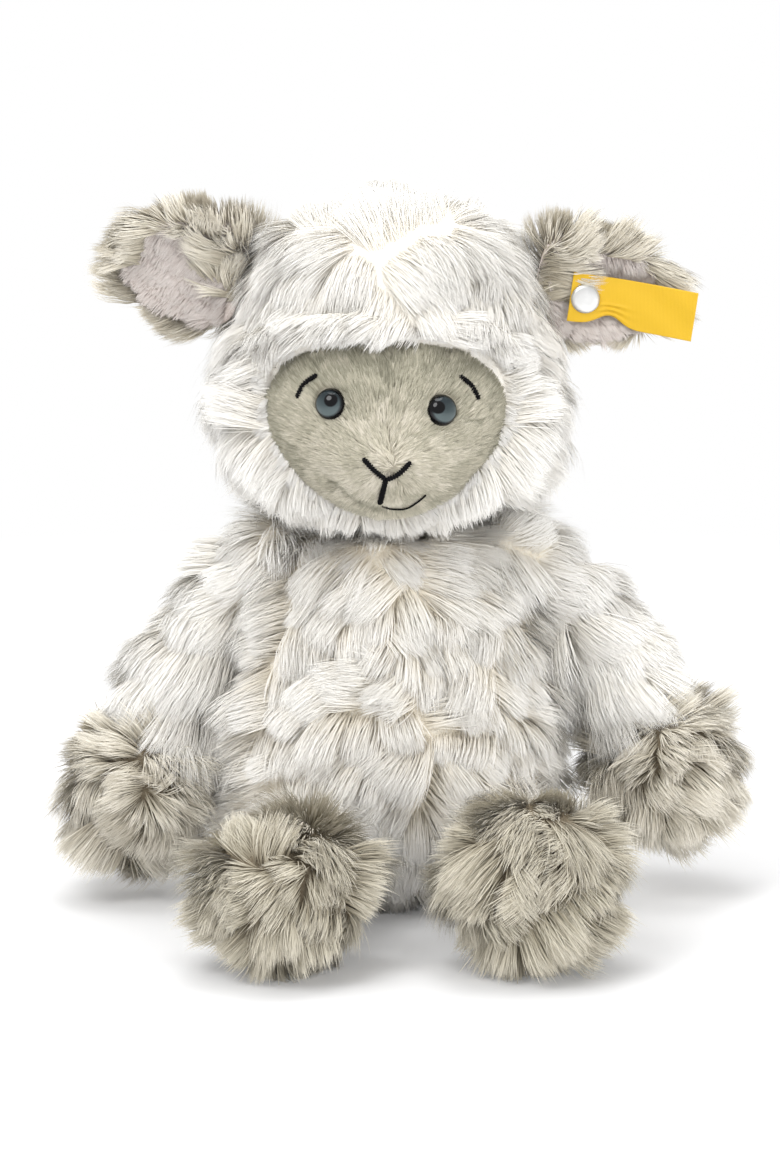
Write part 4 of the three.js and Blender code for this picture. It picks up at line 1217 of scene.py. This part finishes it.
NOSE_LINES = [
    [(-6.5, 128.3), (-3.7, 125.7), (-1.0, 123.7)],
    [(5.0, 127.5), (2.0, 125.0), (-1.0, 123.6)],
    [(-1.0, 123.9), (-1.7, 120.5), (-2.5, 116.5)],
]
MOUTH_LINE = [(-2.0, 115.5), (0.4, 114.2), (4.6, 114.5), (8.8, 118.6)]
BROW_LINES = {
    "left": [(17.3, 147.4), (20.4, 144.7), (22.3, 141.2)],
    "right": [(-23.4, 141.6), (-21.5, 145.2), (-18.2, 147.7)],
}
THICK, THICK_PITCH, THIN, THIN_PITCH = 0.58, 1.4, 0.23, 1.1
stitching("nose_thread", NOSE_LINES, THICK, THICK_PITCH, "nose_stitching")
stitching("mouth_thread", [MOUTH_LINE], THIN, THIN_PITCH, "mouth_stitching", 1.0)
for name, line in BROW_LINES.items():
    stitching(f"{name}_brow_thread", [line], THICK, THICK_PITCH, f"{name}_brow_stitching")


# Ribbon and stud
STUD_OUT, STUD_DROP, TAG_FRONT = 14.6, 2.0, -2.9
TAG_LONG, TAG_WIDE, TAG_THICK, TAG_TAIL, TAG_TILT = 33.5, 13.0, 0.42, 4.0, 1.0
STUD_RADIUS, STUD_PIN, STUD_END = 3.75, 0.9, -10.5
to_ear = ear_place("left")


def ribbon_material():
    """Yellow ribbon woven from warp and weft."""
    material, tree, shader = nodes_of("yellow_ribbon")
    place = own_place(tree)

    def threads(scale, distortion, direction):
        inputs = {"Vector": place, "Scale": scale, "Distortion": distortion}
        return node(tree, "TexWave", inputs, bands_direction=direction).outputs["Color"]

    grain = mixed(tree, "MULTIPLY", 1.0, threads(900, 0.6, "X"), threads(1300, 0.4, "Z"))
    wire(tree, shader, {
        "Base Color": mixed(tree, "MIX", grain, (0.66, 0.40, 0.008, 1), (0.74, 0.46, 0.014, 1)),
        "Normal": relief(tree, grain, 0.25, 0.0002), "Roughness": 0.45,
    })
    return material


def slab_faces(across, around):
    """Faces of two equal grids of points, front and back, and of the edges between them."""
    count = across * around
    grid = np.arange(count).reshape(across, around)
    a, b, c, d = grid[:-1, :-1], grid[:-1, 1:], grid[1:, 1:], grid[1:, :-1]

    def wall(a, b):
        return a, b, count + b, count + a

    def wall_back(a, b):
        return a, count + a, count + b, b

    faces = []
    for pair in (
        ((a, d, c, b), (count + a, count + b, count + c, count + d)),
        (wall_back(grid[:-1, 0], grid[1:, 0]), wall(grid[:-1, -1], grid[1:, -1])),
        (wall(grid[0, :-1], grid[0, 1:]), wall_back(grid[-1, :-1], grid[-1, 1:])),
    ):
        faces += np.stack([np.stack(quads, -1) for quads in pair], -2).reshape(-1, 4).tolist()
    return faces


def build_tag():
    """The ribbon: it curls away along its length and is gathered under the stud."""
    across, around = 72, 40
    end = TAG_LONG - TAG_TAIL
    x = np.linspace(-TAG_TAIL, end, across)[:, None]
    h = np.linspace(-TAG_WIDE / 2, TAG_WIDE / 2, around)[None]
    lean = climb(x - 6, end - 6)
    under = hump((x - 7) / 4.2) * (h < 0)
    fold = 1.3 * under * (h / TAG_WIDE * 2) ** 2 - 0.5 * under * np.sin(h * 1.4) ** 2
    ripple = 0.12 * np.sin(h * 0.6 + x * 0.35)
    back = -6.6 * lean**1.5 - 0.9 * lean * (h / TAG_WIDE) + ripple + fold
    grid = vectors(x * (1 - 0.03 * lean), back, h * (1 - 0.42 * under))
    half = TAG_THICK / 2
    verts = np.concatenate([(grid + (0, -half, 0)).reshape(-1, 3), (grid + (0, half, 0)).reshape(-1, 3)])
    centre = np.array([STUD_OUT, TAG_FRONT + half, -STUD_DROP])
    verts = to_ear(centre + verts @ turn_about((0, 1, 0), TAG_TILT).T)
    faces = slab_faces(across, around)
    obj = piece_from("ear_ribbon", verts, faces, ribbon_material(), "tag", "yellow_ribbon")
    bevel = obj.modifiers.new("edge", "BEVEL")
    bevel.width, bevel.segments, bevel.limit_method = 0.00008, 1, "ANGLE"
    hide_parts("ear_tag")


def build_stud():
    a = np.linspace(0, np.pi / 2, 14)
    dome = np.stack([(STUD_RADIUS - 0.25) * np.cos(a) ** 0.5, 0.3 + 0.55 * np.sin(a)], 1)
    edge = [[STUD_RADIUS - 0.2, 0.0], [STUD_RADIUS, 0.1], [STUD_RADIUS, 0.3]]
    base = [[0, STUD_END], [STUD_PIN, STUD_END], [STUD_PIN, 0.0], *edge]
    centre = np.array([STUD_OUT, TAG_FRONT - 0.35, -STUD_DROP])
    form = revolved(domed(base, dome), 56, lambda p: to_ear(centre + vectors(p[:, 0], -p[:, 2], p[:, 1])))
    obj = piece_from("ear_stud", form.verts, form.tris.tolist(), STEEL, "left_ear", "stud_metal")
    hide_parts("ear_button")


build_stud()
build_tag()

for part, material in {
    "pellet_bag": BAG, "neck_drawstring": STRING, "left_eye_washer": WASHER, "right_eye_washer": WASHER,
    "ear_button_back": STEEL,
}.items():
    NODES[part].data.materials.clear()
    NODES[part].data.materials.append(material)

# Floor, light and camera
scene = bpy.context.scene
scene.view_settings.view_transform = "Standard"
FLOOR_HALF, FADE_FROM, FADE_TO = 6.0, 0.14, 0.5
MIDDLE = (0, 0, 0.09)


def floor_material():
    """A pale matte floor that fades into the plain background away from the toy."""
    material, tree, _ = nodes_of("studio_floor")
    tree.nodes.clear()
    far = node(tree, "VectorMath", {0: own_place(tree)}, operation="LENGTH").outputs["Value"]
    fade = node(tree, "MapRange", {
        "Value": far, "From Min": FADE_FROM, "From Max": FADE_TO, "To Min": 0.12, "To Max": 1.0,
    })
    seen = node(tree, "LightPath").outputs["Is Camera Ray"]
    share = node(tree, "Math", {0: seen, 1: fade.outputs["Result"]}, operation="MULTIPLY")
    matte = node(tree, "BsdfDiffuse", {"Color": (0.86, 0.86, 0.865, 1)})
    glow = node(tree, "Emission", {"Strength": 1.0})
    mix = node(tree, "MixShader", {0: share.outputs[0], 1: matte.outputs[0], 2: glow.outputs[0]})
    node(tree, "OutputMaterial", {"Surface": mix.outputs[0]})
    return material


def floor():
    mesh = bpy.data.meshes.new("studio_floor")
    s = FLOOR_HALF
    mesh.from_pydata([(-s, -s, 0), (s, -s, 0), (s, s, 0), (-s, s, 0)], [], [(0, 1, 2, 3)])
    mesh.materials.append(floor_material())
    obj = bpy.data.objects.new("studio_floor", mesh)
    scene.collection.objects.link(obj)


def backdrop():
    """White where the camera sees it, a little dimmer as light."""
    world = bpy.data.worlds.new("studio")
    scene.world = world
    world.use_nodes = True
    tree = world.node_tree
    rays = node(tree, "LightPath").outputs
    seen = {0: rays["Is Camera Ray"], 1: rays["Is Transmission Ray"]}
    either = node(tree, "Math", seen, operation="MAXIMUM").outputs[0]
    level = node(tree, "MapRange", {"Value": either, "To Min": 0.72, "To Max": 1.0})
    wire(tree, tree.nodes["Background"], {"Strength": level.outputs["Result"], "Color": (1, 1, 1, 1)})


def lamp(name, place, size, power, glossy=True):
    data = bpy.data.lights.new(name, "AREA")
    data.shape, data.size, data.energy = "DISK", size, power
    obj = bpy.data.objects.new(name, data)
    obj.location = place
    obj.rotation_euler = (Vector(MIDDLE) - Vector(place)).to_track_quat("-Z", "Y").to_euler()
    obj.visible_glossy = glossy
    scene.collection.objects.link(obj)


floor()
backdrop()
lamp("key", (-0.65, -0.95, 1.3), 0.8, 12)
lamp("fill", (0.8, -1.2, 0.45), 0.9, 8.2, glossy=False)
lamp("top", (-0.1, 0.0, 1.5), 0.9, 8.5)
lamp("back", (0.15, 1.3, 0.9), 0.9, 5, glossy=False)

TARGET, DISTANCE, RISE = Vector((0, 0, 0.084)), 1.3, math.radians(12)
camera_data = bpy.data.cameras.new("camera")
camera_data.lens, camera_data.sensor_width = 149.8, 36
camera = bpy.data.objects.new("camera", camera_data)
camera.location = TARGET + DISTANCE * Vector((0, -math.cos(RISE), math.sin(RISE)))
camera.rotation_euler = (TARGET - camera.location).to_track_quat("-Z", "Y").to_euler()
scene.collection.objects.link(camera)
scene.camera = camera
